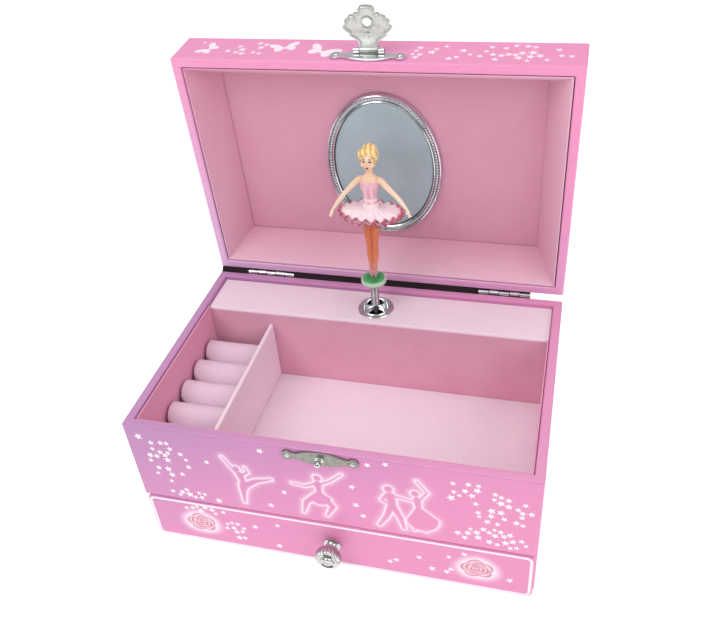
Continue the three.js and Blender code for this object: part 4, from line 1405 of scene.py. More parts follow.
@dataclass
class RingRolls:
    """Five padded rolls that hold rings between them."""

    finishes: Finishes
    enlarge: float = 10.0
    slack: float = 1.1
    voxel: float = 5.5
    cap: float = 11.0
    fill: float = 0.85
    clearance: Point = (0.2, 0.1, 0)

    def build(self) -> None:
        """Shapes one roll and copies it into the five places."""
        boxes = [extent(f"ring_roll_{number}") for number in range(1, 6)]
        size = boxes[0][1] - boxes[0][0]
        pattern = self.pattern(size)
        for number, (low, high) in enumerate(boxes, 1):
            roll = Bench.copy(pattern, f"ring_roll_{number}_padded")
            middle = (low + high) / 2
            Bench.place(roll, (middle.x, middle.y, low.z))
            deliver(
                roll, Body.CASE, self.finishes.padded, [f"ring_roll_{number}"]
            )
        bpy.data.objects.remove(pattern)

    def pattern(self, size: Vector) -> Object:
        """One roll, standing on 0, swollen by pressure and fitted back to its size.

        Args:
            size: the room a roll has.

        Returns:
            The roll.
        """
        big = (size - Vector((2, 2, 2)) * self.slack) * self.enlarge / 2
        roll = Bench.box("roll_pattern", (-big.x, -big.y, 0), (big.x, big.y, big.z * 2))
        top = big.z * 2

        def long_top(a: Vector, b: Vector) -> bool:
            """Whether an edge runs along the top of the roll."""
            return abs(a.x - b.x) > big.x and min(a.z, b.z) > top - 0.01

        Bench.pick_edges(roll, long_top)
        Bench.round_off(big.y * 0.98, 12)
        Bench.modify(roll, "REMESH", mode="VOXEL", voxel_size=self.voxel * MM)
        self.inflate(roll)
        self.fit(roll, size)
        Bench.modify(roll, "SUBSURF", levels=1, render_levels=1)
        Bench.hold(roll)
        bpy.ops.object.shade_smooth()
        return roll

    def inflate(self, roll: Object) -> None:
        """Fills the cover with pressure for twenty frames and caps how far it swells.

        Args:
            roll: the roll's cover.
        """
        rest = [vertex.co.copy() for vertex in roll.data.vertices]
        Bench.hold(roll)
        cloth = roll.modifiers.new("filling", "CLOTH")
        cloth.settings.use_pressure = True
        cloth.settings.uniform_pressure_force = 4
        cloth.settings.effector_weights.gravity = 0
        cloth.settings.tension_stiffness = 25
        cloth.settings.compression_stiffness = 25
        scene = bpy.context.scene
        for number in range(1, 21):
            scene.frame_set(number)
        bpy.ops.object.modifier_apply(modifier=cloth.name)
        scene.frame_set(1)
        for vertex, home in zip(roll.data.vertices, rest):
            moved = vertex.co - home
            if moved.length > self.cap * MM:
                vertex.co = home + moved.normalized() * self.cap * MM

    def fit(self, roll: Object, size: Vector) -> None:
        """Scales the roll into its place, with its middle over 0 and its foot on 0.

        Args:
            roll: the roll.
            size: the room it has.
        """
        spots = [vertex.co.copy() for vertex in roll.data.vertices]
        low, high = span(spots)
        room = size - Vector(self.clearance)
        for vertex, spot in zip(roll.data.vertices, spots):
            share = [(spot[i] - low[i]) / (high[i] - low[i]) for i in range(3)]
            vertex.co = Vector((
                (share[0] - 0.5) * room.x, (share[1] - 0.5) * room.y, share[2] * room.z
            )) * MM


@dataclass
class Nails:
    """Small domed nails."""

    radius: float = 0.95
    rise: float = 0.45

    def head(self) -> Object:
        """One nail head on Z, its foot a little below 0."""
        r, h = self.radius, self.rise
        profile = [(r, -0.15), (r, 0.02), (r * 0.93, h * 0.4), (r * 0.75, h * 0.75),
                   (r * 0.45, h * 0.95), (0.08, h)]
        return Bench.turned("nail", profile, 20)

    def row(self, name: str, places: Sequence[tuple[Vector, Point]]) -> Object:
        """Heads at several places, each turned by degrees.

        Args:
            name: the new name.
            places: spots and turns.

        Returns:
            The joined heads.
        """
        spots = []
        for spot, turn in places:
            spin = Euler([math.radians(a) for a in turn]).to_matrix().to_4x4()
            spots.append(Matrix.Translation(spot * MM) @ spin)
        return Bench.smooth(Bench.scatter(name, self.head(), spots), 50)


@dataclass
class Catch:
    """The plate and ball stud on the case's front that the hasp snaps over."""

    finishes: Finishes

    def build(self) -> None:
        """Makes the plate, its nails and the stud."""
        low, high = extent("catch_plate")
        middle = (low + high) / 2
        dress_copy("catch_plate", Body.CASE, self.finishes.aged, 0.32, 3)
        ear = (high.z - low.z) * 0.35
        spots = [Vector((s * (high.x - ear), low.y, middle.z)) for s in (-1, 1)]
        nails = Nails(1.25, 0.6).row("catch_nails", [(spot, (90, 0, 0)) for spot in spots])
        deliver(nails, Body.CASE, self.finishes.knob)
        stud_low, stud_high = extent("catch_stud")
        ball = (stud_high.z - stud_low.z) / 2
        reach = stud_high.y - stud_low.y
        profile = [
            (ball * 1.25, -0.15), (ball * 1.25, 0.1), (ball * 1.05, 0.3), (ball * 0.62, 0.42),
            (ball * 0.6, reach - 1.8 * ball),
        ]
        for step in range(11):
            angle = math.radians(-52 + step * 13.9)
            width = max(0.04, ball * math.cos(angle))
            profile.append((width, reach - ball + ball * math.sin(angle)))
        stud = Bench.turned("catch_ball", profile, 40)
        Bench.smooth(Bench.place(stud, (middle.x, stud_high.y, middle.z), (90, 0, 0)), 35)
        deliver(stud, Body.CASE, self.finishes.knob, ["catch_stud"])


# ---------- lid
class Swing:
    """Opens pieces that are drawn in the closed position."""

    def __init__(self) -> None:
        """Reads the hinge line and how far the lid stands open."""
        joint = joint_named("lid_hinge")
        self.pivot = Vector(joint["pos_m"])
        self.angle = math.radians(joint["range_deg"][1])

    def matrix(self, sign: int = -1) -> Matrix:
        """The turn from closed to open, or back with a sign of 1."""
        turn = Matrix.Rotation(sign * self.angle, 4, "X")
        return Matrix.Translation(self.pivot) @ turn @ Matrix.Translation(-self.pivot)

    def open(self, obj: Object) -> Object:
        """Opens a piece."""
        obj.data.transform(self.matrix())
        return obj

    def extent(self, *nodes: str) -> tuple[Vector, Vector]:
        """The box round some of the lid's nodes as if it were closed, in millimetres."""
        back = self.matrix(1)
        low, high = span([back @ v.co for n in nodes for v in frame["nodes"][n].data.vertices])
        return low / MM, high / MM


def oval(half_x: float, half_y: float, points: int) -> list[tuple[Vector, Vector]]:
    """Points round an oval with their outward directions.

    Args:
        half_x: half its width.
        half_y: half its height.
        points: how many.

    Returns:
        The points and directions, in order.
    """
    path = []
    for step in range(points):
        angle = 2 * math.pi * step / points
        c, s = math.cos(angle), math.sin(angle)
        path.append((
            Vector((half_x * c, half_y * s, 0)), Vector((c / half_x, s / half_y, 0)).normalized()
        ))
    return path


@dataclass
class Lid:
    """The lid with its lining, mirror, hasp and printed faces."""

    finishes: Finishes
    swing: Swing
    edge: float = 0.8
    boards: tuple[str, ...] = ("lid_left", "lid_right", "lid_front", "lid_rear", "lid_top")
    right_wall: float = 80  # from here to the right the lid walls are painted paler: painted light on the wall that faces the key lamp
    rear_wall: float = 8  # height of the strip at the hinges painted paler: painted light on the wall that faces up when the lid is open
    bead_line: float = 2.2  # the beads' distance from the glass
    bead_radius: float = 0.66
    hasp_thickness: float = 0.8
    hasp_reach: float = 12.7  # from the pin to the middle of the hole
    hasp_hole: float = 1.95
    hasp_barrel: float = 1.25
    hasp_bore: float = 0.7
    hasp_bead: float = 0.34  # radius of the embossed border
    hasp_inset: float = 0.95  # from the edge to the embossed border

    def build(self) -> None:
        """Makes the whole lid."""
        self.build_shell()
        flock = self.finishes.lid_flock
        walls = dress_copy("lid_lining_walls", Body.LID, flock, 0.3, 3)
        paler = extent("lid_lining_walls")[0].z + self.rear_wall
        right = self.right_wall
        # Painted light: the right wall and the upward-facing strip at the hinges take the paler
        # marked colour.
        Bench.paint(walls, "tint", lambda p: 1.0 if p.x > right or p.z < paler else 0.0)
        dress_copy("lid_lining_panel", Body.LID, flock, 0.2)
        self.build_mirror()
        self.build_hasp_base()
        self.build_hasp_plate()
        self.print_faces()

    def build_shell(self) -> None:
        """Covers the lid's boards with one wrap."""
        low, high = self.swing.extent(*self.boards)
        inner_x = -self.swing.extent("lid_left")[1].x
        inner_y = self.swing.extent("lid_rear")[0].y
        under = self.swing.extent("lid_top")[0].z
        shell = Bench.box("lid_shell", low, high)
        Bench.cut(shell, Bench.box("room", (-inner_x, -inner_y, 0), (inner_x, inner_y, under)))
        Bench.soften(shell, self.edge, 3)
        self.swing.open(shell)
        deliver(shell, Body.LID, self.finishes.lid_paper, self.boards)

    def build_mirror(self) -> None:
        """Lays the glass in an oval moulding with a beaded channel between two bright lips."""
        low, high = self.swing.extent("mirror_glass")
        middle, half = (low + high) / 2, (high - low) / 2
        outline = [(p.x, p.y) for p, _ in oval(half.x, half.y, 128)]
        glass = Bench.plate("mirror_pane", outline, half.z * 2)
        Bench.place(glass, (middle.x, middle.y, low.z))
        Bench.soften(glass, 0.5, 2)
        self.swing.open(glass)
        deliver(glass, Body.LID, self.finishes.mirror, ["mirror_glass"])

        frame_low, frame_high = self.swing.extent("mirror_frame")
        wide = (frame_high.x - frame_low.x) / 2 - half.x
        tall = frame_high.z - frame_low.z
        section = [
            (0.3, 0), (0.3, tall * 0.62), (0.42, tall * 0.84), (0.72, tall * 0.96),
            (1.02, tall * 0.88), (1.18, tall * 0.66), (1.3, tall * 0.5), (1.5, tall * 0.44),
            (2.9, tall * 0.44), (3.08, tall * 0.5), (3.2, tall * 0.7), (3.4, tall * 0.92),
            (3.72, tall), (4.05, tall * 0.92), (wide * 0.98, tall * 0.62), (wide, tall * 0.3),
            (wide, 0),
        ]
        path = oval(half.x, half.y, 176)
        ring = Bench.rail("mirror_moulding", path, section)
        beads = []
        for spot, outward in oval(half.x, half.y, 148):
            where = spot + outward * self.bead_line + Vector((0, 0, tall * 0.5))
            beads.append(Matrix.Translation(where * MM))
        Bench.clear()
        size = self.bead_radius * MM
        bpy.ops.mesh.primitive_uv_sphere_add(segments=10, ring_count=6, radius=size)
        row = Bench.scatter("mirror_beads", bpy.context.object, beads)
        bed = [(1.3, tall * 0.3), (1.3, tall * 0.47), (3.1, tall * 0.47), (3.1, tall * 0.3)]
        bed = Bench.rail("mirror_channel", path, bed)
        for obj, smooth in ((ring, 28), (row, 80), (bed, 28)):
            Bench.place(obj, (middle.x, middle.y, frame_high.z), (180, 0, 0))
            Bench.smooth(obj, smooth)
            self.swing.open(obj)
        deliver(ring, Body.LID, self.finishes.chrome, ["mirror_frame"])
        deliver(row, Body.LID, self.finishes.chrome)
        deliver(bed, Body.LID, self.finishes.channel)

    def build_hasp_base(self) -> None:
        """Softens the hasp's base and nails it on."""
        dress_copy("hasp_base", Body.LID, self.finishes.chrome, 0.22, 2)
        dress_copy("hasp_pin", Body.LID, self.finishes.steel, 0.12, 2)
        low, high = self.swing.extent("hasp_base")
        front = self.swing.extent("lid_front")[0].y
        ear, level, proud = 2.66, low.z + 3.8, 1.2
        spots = [Vector((s * (high.x - ear), front - proud, level)) for s in (-1, 1)]
        nails = Nails(1.25, 0.6).row("hasp_nails", [(spot, (90, 0, 0)) for spot in spots])
        self.swing.open(nails)
        deliver(nails, Body.LID, self.finishes.chrome)

    def build_hasp_plate(self) -> None:
        """Stamps the hasp: a crown-shaped plate with an embossed border, on a rolled barrel."""
        low, high = self.swing.extent("hasp_plate")
        pin_low, pin_high = self.swing.extent("hasp_pin")
        pin = (pin_low + pin_high) / 2
        half, length = high.x, pin.y - low.y
        neck = half * 0.375
        right = [
            (0.375, 0.0), (0.375, 0.11), (0.405, 0.19), (0.6, 0.27), (0.77, 0.335),
            (0.74, 0.375), (0.86, 0.42), (0.99, 0.485), (1, 0.54), (0.9, 0.585), (0.93, 0.63),
            (0.88, 0.69), (0.78, 0.715), (0.76, 0.755), (0.66, 0.79), (0.55, 0.79), (0.51, 0.83),
            (0.42, 0.84), (0.36, 0.83), (0.35, 0.89), (0.29, 0.955), (0.16, 0.995),
        ]
        knots = [(half * out, -share * length) for out, share in right]
        knots += [(-x, y) for x, y in reversed(knots)]
        thick, reach = self.hasp_thickness, self.hasp_reach
        edge = self.rounded(knots)
        plate = Bench.place(Bench.plate("hasp_crown", edge, thick), (0, 0, -thick / 2))
        radius = self.hasp_barrel
        barrel = Bench.turned("barrel", [(radius, -neck), (radius, neck)], 32)
        Bench.fuse(plate, Bench.place(barrel, turn=(0, 90, 0)))
        radius = self.hasp_hole
        hole = Bench.place(Bench.turned("hole", [(radius, -3), (radius, 3)], 40), (0, -reach, 0))
        radius = self.hasp_bore
        bore = Bench.turned("bore", [(radius, -neck - 2), (radius, neck + 2)], 20)
        Bench.cut(plate, hole, Bench.place(bore, turn=(0, 90, 0)))
        Bench.modify(
            plate, "BEVEL", width=0.16 * MM, segments=2, limit_method="ANGLE",
            angle_limit=math.radians(50), use_clamp_overlap=True,
        )
        radius = self.hasp_bead
        angles = [math.tau * i / 10 for i in range(10)]
        bead = [(radius * math.cos(a), radius * math.sin(a)) for a in angles]
        eyelet = [(2.6 + 0.4 * x / radius, 0.8 * y) for x, y in bead]
        pieces = [plate]
        for side, flip in ((1, 0), (-1, 180)):
            lift = side * (thick / 2 + 0.02)
            border = Bench.rail("border", self.inside(edge, self.hasp_inset), bead)
            ring = Bench.turned("ring", eyelet, 40, loop=True)
            stud = Bench.turned("boss", [(1.5, -0.3), (1.35, 0.1), (0.9, 0.34), (0.3, 0.42)], 28)
            pieces.append(Bench.place(border, (0, 0, lift)))
            pieces.append(Bench.place(ring, (0, -reach, lift)))
            pieces.append(Bench.place(stud, (0, -0.37 * length, lift), (flip, 0, 0)))
        for piece in pieces[1:]:
            Bench.face_out(piece)
        plate = Bench.gather("hasp_crown", pieces)
        Bench.place(plate, (0, pin.y, pin.z))
        Bench.smooth(plate, 30)
        self.swing.open(plate)
        deliver(plate, Body.HASP, self.finishes.satin, ["hasp_plate"])

    @staticmethod
    def inside(outline: Sequence[tuple[float, float]], inset: float) -> list[tuple[Vector, Vector]]:
        """A line that runs inside a clockwise outline, with its outward directions.

        Args:
            outline: the outline's points.
            inset: the distance inside.

        Returns:
            Points with their outward directions.
        """
        path = []
        count = len(outline)
        for i in range(count):
            before, here, after = (Vector(outline[(i + k) % count]) for k in (-2, 0, 2))
            along = (after - before).normalized()
            outward = Vector((-along.y, along.x))
            path.append(((here - outward * inset).to_3d(), outward.to_3d()))
        return path

    @staticmethod
    def rounded(knots: Sequence[tuple[float, float]], steps: int = 3) -> list[tuple[float, float]]:
        """A closed outline curved smoothly through its knots.

        Args:
            knots: its points.
            steps: lengths between two of them.

        Returns:
            The finer outline.
        """
        line = []
        count = len(knots)
        for i in range(count):
            p0, p1, p2, p3 = (Vector(knots[(i + k) % count]) for k in (-1, 0, 1, 2))
            straight = i == count - 1
            for step in range(1 if straight else steps):
                t = step / steps
                spot = 0.5 * (
                    2 * p1 + (p2 - p0) * t + (2 * p0 - 5 * p1 + 4 * p2 - p3) * t**2
                    + (3 * p1 - p0 - 3 * p2 + p3) * t**3
                )
                line.append((spot.x, spot.y))
        return line

    def print_faces(self) -> None:
        """Prints the lid's front, top and sides."""
        low, high = self.swing.extent(*self.boards)
        turn = self.swing.matrix().to_3x3()

        def sheet(corner: Sequence[float], across: Sequence[float], up: Sequence[float]) -> Sheet:
            """A face given with the lid closed."""
            spot = self.swing.matrix() @ (Vector(corner) * MM) / MM
            return Sheet(spot, turn @ Vector(across), turn @ Vector(up))

        ink, paper = self.finishes.ink, self.finishes.lid_paper
        face = sheet((0, low.y, low.z), (1, 0, 0), (0, 0, 1))
        front = Print("lid_front_print", face, Body.LID, paper, ink, 41)
        front.butterfly(-42, 14, 18, 1.5)
        front.butterfly(-23, 10.5, -24, 1.75)
        front.butterfly(-79, 11, 62, 1.3)
        front.clusters((-60, 12, 12, 7, 10), (32, 11, 15, 7, 12), (68, 12, 22, 8, 22))
        front.star(-84, 18, 1.3)
        front.finish()
        face = sheet((0, 0, high.z), (1, 0, 0), (0, 1, 0))
        top = Print("lid_top_print", face, Body.LID, paper, ink, 51)
        top.figure(0, -34, Figures.COUPLE, 1.7)
        top.rose(-66, -36, 1.7)
        top.rose(66, 36, 1.7)
        top.clusters((-62, 34, 22, 15, 26), (64, -34, 22, 15, 26), (0, 48, 30, 6, 10))
        top.butterfly(-40, -6, 20, 1.6)
        top.butterfly(44, 8, -28, 1.4)
        top.finish()
        for name, x, across in (("left", low.x, (0, -1, 0)), ("right", high.x, (0, 1, 0))):
            face = sheet((x, 0, low.z), across, (0, 0, 1))
            side = Print(f"lid_{name}_print", face, Body.LID, paper, ink, 61 if x < 0 else 62)
            side.clusters((-36, 12, 16, 7, 10), (30, 12, 20, 7, 12))
            side.finish()


@dataclass
class Hinges:
    """Two stamped hinges with rolled knuckles, nailed to the back of the case and the lid."""

    finishes: Finishes
    swing: Swing
    nail_shares: tuple[float, ...] = (0.16, 0.5, 0.84)  # the nails' places along a leaf
    nail_level: float = 3.4  # from a leaf's outer edge
    leaf: float = 0.8
    cloth: float = 0.14  # half the thickness of the near-black strip that paints the shadow in the hinge gap

    def build(self) -> None:
        """Softens the leaves and nails them on."""
        chrome = self.finishes.chrome
        for side in ("left", "right"):
            dress_copy(f"hinge_{side}_base_leaf", Body.CASE, chrome, 0.18)
            dress_copy(f"hinge_{side}_lid_leaf", Body.LID, chrome, 0.18)
            dress_copy(f"hinge_{side}_pin", Body.CASE, self.finishes.steel, 0.15)
        places = {Body.CASE: [], Body.LID: []}
        for side in ("left", "right"):
            for body, box in (
                (Body.CASE, extent(f"hinge_{side}_base_leaf")),
                (Body.LID, self.swing.extent(f"hinge_{side}_lid_leaf")),
            ):
                low, high = box
                outer = extent(f"hinge_{side}_base_leaf")[0].y + self.leaf
                inset = self.nail_level
                level = low.z + inset if body is Body.CASE else high.z - inset
                for share in self.nail_shares:
                    spot = Vector((low.x + (high.x - low.x) * share, outer, level))
                    places[body].append((spot, (-90, 0, 0)))
        for body, spots in places.items():
            nails = Nails(1.15, 0.5).row(f"hinge_nails_{body.value}", spots)
            if body is Body.LID:
                self.swing.open(nails)
            deliver(nails, body, self.finishes.steel)
        self.build_gap_shadow()

    def build_gap_shadow(self) -> None:
        """Fills the gap between case and lid with a near-black strip, a painted shadow, running
        from the back wall over the gap to the lid's lower edge, from the left end to the right
        hinge.
        """
        back = extent("base_back")[1]
        lid_edge = self.swing.extent("lid_rear")[0].z
        skin, turn = self.cloth, self.swing.matrix()
        outer = back.y + skin
        closed = [(0, outer, lid_edge + rise) for rise in (0.1, 1.2, 2.4, 3.6)]
        opened = [turn @ (Vector(spot) * MM) / MM for spot in closed]
        first, last = Vector((outer, back.z - 0.25)), Vector((opened[0].y, opened[0].z))
        sag = Vector((0.1, -0.25))
        spine = [Vector((outer, back.z - drop)) for drop in (3.6, 1.8, 0.8)] + [first]
        spine += [first.lerp(last, t) + sag * math.sin(math.pi * t) for t in (0.2, 0.4, 0.6, 0.8)]
        spine += [Vector((spot.y, spot.z)) for spot in opened]
        sides = ([], [])
        for i, spot in enumerate(spine):
            along = (spine[min(i + 1, len(spine) - 1)] - spine[max(i - 1, 0)]).normalized()
            across = Vector((along.y, -along.x)) * skin
            sides[0].append(tuple(spot + across))
            sides[1].append(tuple(spot - across))
        left = extent("base_left")[0].x
        right = extent("hinge_right_pin")[1].x
        gap_shadow = Bench.plate("hinge_shadow_strip", sides[0] + sides[1][::-1], right - left - 0.6)
        Bench.smooth(Bench.place(gap_shadow, (left + 0.3, 0, 0), (90, 0, 90)), 50)
        gap_shadow.data.materials.append(self.finishes.gap_shadow)
        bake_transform(gap_shadow)


# ---------- drawer
@dataclass
class Drawer:
    """The drawer: a printed front, a flocked box and a fluted knob."""

    finishes: Finishes
    corner: float = 3.0
    margin: float = 0.8
    flutes: int = 20
    flute_depth: float = 0.075

    def build(self) -> None:
        """Makes the whole drawer."""
        self.build_front()
        flock, pale = self.finishes.flock, self.finishes.pale
        for side in ("left", "right", "back"):
            dress_copy(f"drawer_{side}", Body.DRAWER, flock, 0.6, 3)
        dress_copy("drawer_floor", Body.DRAWER, pale, 0.3)
        self.build_knob()

    def build_front(self) -> None:
        """Covers the front and prints its line, its roses and its stars."""
        low, high = extent("drawer_front")
        path = rounded_panel((low.x, low.z), (high.x, high.z), self.corner)
        front = Bench.plate("drawer_face", [(p.x, p.y) for p, _ in path], high.y - low.y)
        Bench.place(front, (0, high.y, 0), (90, 0, 0))
        Bench.soften(front, 0.8, 3)
        deliver(front, Body.DRAWER, self.finishes.case_paper, ["drawer_front"])

        face = Sheet(Vector((0, low.y, 0)), Vector((1, 0, 0)), Vector((0, 0, 1)))
        work = Print(
            "drawer_print", face, Body.DRAWER, self.finishes.case_paper, self.finishes.ink, 71
        )
        margin = self.margin
        corners = (low.x + margin, low.z + margin), (high.x - margin, high.z - margin)
        work.border(*corners, self.corner)
        work.rose(-68, 16, 1.35)
        work.rose(69, 16, 1.35)
        work.clusters((-64, 26, 12, 2, 8), (-50, 16, 5, 4, 8))
        work.singles(
            2.2, (-49, 8), (-39, 19), (-27, 23), (-28, 7), (-46, 8.5), (28, 10), (31, 12),
            (42, 17), (48, 10), (56, 21), (57, 12), (55, 9.5), (63, 25), (84, 11),
        )
        work.finish()

    def build_knob(self) -> None:
        """Turns the knob and flutes its rim."""
        low, high = extent("drawer_knob")
        middle = (low + high) / 2
        profile = [
            (4.0, 0), (4.25, 0.2), (4.2, 0.55), (3.5, 0.9), (2.9, 1.5), (2.65, 2.3), (2.6, 3.6),
            (2.9, 4.3), (4.2, 4.7), (5.3, 5.0), (5.9, 5.45), (6.2, 6.0), (6.36, 6.7), (6.4, 7.6),
            (6.36, 8.5), (6.15, 9.2), (5.75, 9.65), (5.25, 9.8), (4.8, 9.6), (4.4, 9.15),
            (3.9, 8.85), (3.4, 8.85), (3.05, 9.15), (2.85, 9.8), (2.65, 10.4), (2.25, 10.8),
            (1.6, 10.98), (1.1, 10.9), (0.85, 10.6), (0.5, 10.5), (0.06, 10.5),
        ]
        knob = Bench.turned("fluted_knob", profile, self.flutes * 8)
        for vertex in knob.data.vertices:
            x, y, z = vertex.co / MM
            reach = math.hypot(x, y)
            rim = max(0.0, min(1.0, (reach - 5.2) / 0.7))
            groove = abs(math.sin(self.flutes / 2 * math.atan2(y, x))) ** 0.7
            k = 1 - self.flute_depth * rim * (1 - groove)
            vertex.co = Vector((x * k, y * k, z)) * MM
        Bench.smooth(Bench.place(knob, (middle.x, high.y, middle.z), (90, 0, 0)), 32)
        deliver(knob, Body.DRAWER, self.finishes.knob, ["drawer_knob"])


# ---------- dancer
@dataclass
class Dancer:
    """The turning dancer on her spring: a painted moulding in a ruffled skirt."""

    finishes: Finishes
    lean: float = 1.4
    wire: float = 0.33
    turns: int = 20
    grain: float = 0.3
    ruffles: int = 19
    waist: tuple[float, float] = (4.2, 3.5)  # the skirt's half width and depth at the waist
    waist_height: float = 41.2
    net: float = 0.22

    def build(self) -> None:
        """Makes the spring, the disc and the figure."""
        self.build_spring()
        self.build_disc()
        self.build_figure()
        self.build_head()
        self.build_skirt()

    def build_spring(self) -> None:
        """Winds the spring."""
        low, high = extent("dancer_spring")
        middle = (low + high) / 2
        radius = high.x - self.wire - 0.02
        pitch = (high.z - low.z - 2 * self.wire) / self.turns
        Bench.clear()
        bpy.ops.mesh.primitive_circle_add(vertices=8, radius=self.wire * MM)
        coil = bpy.context.object
        coil.name = "coil_spring"
        Bench.place(coil, (radius, 0, low.z + self.wire), (90, 0, 0))
        Bench.modify(
            coil, "SCREW", axis="Z", angle=2 * math.pi, screw_offset=pitch * MM,
            iterations=self.turns, steps=22, render_steps=22, use_merge_vertices=False,
        )
        Bench.hold(coil)
        Bench.edit_all()
        bpy.ops.mesh.fill_holes(sides=0)
        bpy.ops.object.mode_set(mode="OBJECT")
        Bench.face_out(Bench.place(coil, (middle.x, middle.y, 0)))
        Bench.smooth(coil, 60)
        coil.data.materials.append(self.finishes.wire)
        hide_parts("dancer_spring")
        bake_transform(coil)
        log.info("%s: %d faces", coil.name, len(coil.data.polygons))

    def build_disc(self) -> None:
        """Turns the green disc with its rolled edge, and the socket under it."""
        low, high = extent("dancer_disc")
        middle = (low + high) / 2
        r, h = high.x - middle.x, high.z - low.z
        profile = [
            (2.7, 0.0), (r - 0.6, 0), (r - 0.15, 0.25), (r, 0.7), (r, h * 0.55),
            (r - 0.12, h * 0.8), (r - 0.5, h), (r - 1.1, h), (r - 1.4, h - 0.25), (3.2, h - 0.3),
            (2.6, h - 0.05), (0.1, h),
        ]
        disc = Bench.turned("green_disc", profile, 72)
        Bench.place(disc, (middle.x, middle.y, low.z))
        # Painted highlight: the outer ring of the disc is mixed towards pale green.
        Bench.paint(disc, "tint", lambda p: (math.hypot(p.x, p.y - middle.y) - r + 1.7) / 1.9)
        Bench.smooth(disc, 38)
        deliver(disc, Body.DANCER, self.finishes.green, ["dancer_disc"])

    def stand(self, obj: Object) -> Object:
        """Moves a part drawn with the feet on 0 to its place, leaning a little."""
        low, high = extent("dancer_disc")
        middle = (low + high) / 2
        return Bench.place(obj, (middle.x, middle.y, high.z + 0.25), (0, self.lean, 0))

    @staticmethod
    def ball(centre: Point, radii: Point, turn: Point = (0, 0, 0)) -> Object:
        """A rounded lump.

        Args:
            centre: its middle.
            radii: its half sizes.
            turn: degrees about X, Y and Z.

        Returns:
            The lump.
        """
        Bench.clear()
        bpy.ops.mesh.primitive_uv_sphere_add(segments=24, ring_count=16, radius=MM)
        obj = bpy.context.object
        obj.scale = radii
        Bench.settle(obj)
        return Bench.place(obj, centre, turn)

    @staticmethod
    def limb(knots: Sequence[tuple[float, float, float, float]]) -> list[Object]:
        """Rounded lengths through points given as x, y, z and radius.

        Args:
            knots: the points.

        Returns:
            The lengths and the balls at their ends.
        """
        parts = []
        for a, b in pairwise(knots):
            start, end = Vector(a[:3]), Vector(b[:3])
            along = end - start
            rod = Bench.turned("rod", [(a[3], 0), (b[3], along.length)], 20)
            rod.data.transform(
                Matrix.Translation(start * MM) @ along.to_track_quat("Z", "Y").to_matrix().to_4x4()
            )
            parts += [rod, Dancer.ball(b[:3], (b[3],) * 3)]
        return [Dancer.ball(knots[0][:3], (knots[0][3],) * 3), *parts]

    @staticmethod
    def trunk(name: str, rings: Sequence[tuple[float, float, float, float]]) -> Object:
        """An oval body through rings given as height, half width, half depth and setback.

        Args:
            name: its name.
            rings: from the bottom up.

        Returns:
            The body, closed.
        """
        sides = 36
        body = Bench.turned(name, [(1.0, ring[0]) for ring in rings], sides)
        for index, vertex in enumerate(body.data.vertices):
            _, wide, deep, back = rings[min(index // sides, len(rings) - 1)]
            x, y, z = vertex.co / MM
            vertex.co = Vector((x * wide, y * deep + back, z)) * MM
        return body

    def build_figure(self) -> None:
        """Moulds legs, shoes, body and arms, each in its own paint."""
        legs = []
        for s in (-1, 1):
            legs += self.limb([
                (s * 1.0, 0.1, 0.9, 0.62), (s * 1.05, 0.2, 3.2, 0.95), (s * 1.15, 0.3, 5.4, 0.92),
                (s * 1.3, 0.35, 9.0, 1.1), (s * 1.5, 0.4, 13.6, 1.55), (s * 1.55, 0.2, 18.2, 1.42),
                (s * 1.65, 0.0, 20.6, 1.5), (s * 1.95, 0.0, 27.0, 2.0), (s * 2.3, 0.1, 33.5, 2.45),
                (s * 2.3, 0.2, 38.5, 2.75),
            ])
        tights = Bench.melt("dancer_legs", legs, self.grain, 5)
        Bench.paint(tights, "tint", lambda p: max(0.0, 1 - p.z / 17) * 0.75)
        deliver(self.stand(tights), Body.DANCER, self.finishes.tights, ["dancer_body"])

        shoes = []
        for s in (-1, 1):
            shoes += self.limb([
                (s * 1.0, 0.0, 0.42, 0.62), (s * 1.02, 0.1, 2.0, 1.02), (s * 1.05, 0.25, 3.9, 1.08),
            ])
            band = [(0, -0.2), (0.22, -0.15), (0.22, 0.15), (0, 0.2)]
            ribbon = Bench.rail("ribbon", oval(1.02, 1.02, 24), band)
            shoes.append(Bench.place(ribbon, (s * 1.12, 0.3, 5.5), (12 * s, 8, 0)))
        slippers = Bench.melt("dancer_shoes", shoes, 0.22, 2)
        deliver(self.stand(slippers), Body.DANCER, self.finishes.bodice)

        rings = [
            (36.6, 3.4, 2.8, 0.2), (39.2, 4.6, 3.9, 0.3), (41.6, 4.5, 3.8, 0.2),
            (44.2, 3.6, 3.0, 0.0), (46.4, 3.25, 2.75, -0.1), (48.8, 3.6, 3.0, -0.2),
            (51.2, 4.2, 3.5, -0.4), (53.0, 4.6, 3.7, -0.5), (54.6, 4.6, 3.2, -0.2),
            (55.6, 4.4, 2.7, 0.0),
        ]
        chest = [
            self.trunk("dress", rings), self.ball((-1.75, -2.4, 52.4), (1.9, 1.5, 1.7)),
            self.ball((1.75, -2.4, 52.4), (1.9, 1.5, 1.7)),
        ]
        for s in (-1, 1):
            chest += self.limb([(s * 3.3, -2.2, 54.4, 0.5), (s * 3.7, -1.0, 57.0, 0.45),
                                (s * 3.7, 0.9, 57.2, 0.45), (s * 3.1, 2.4, 54.6, 0.5)])
        dress = Bench.melt("dancer_bodice", chest, self.grain, 3)

        def trim(p: Vector) -> float:
            """Paler front panel, waist band and neckline."""
            panel = math.exp(-(((abs(p.x) - 1.5) / 0.35) ** 2)) if p.y < 0 and p.z < 53 else 0
            band = math.exp(-(((p.z - 46.2) / 0.7) ** 2))
            return 0.9 * max(panel, band, 1 if p.z < 44 else 0) + 0.25

        Bench.paint(dress, "tint", trim)
        deliver(self.stand(dress), Body.DANCER, self.finishes.bodice)

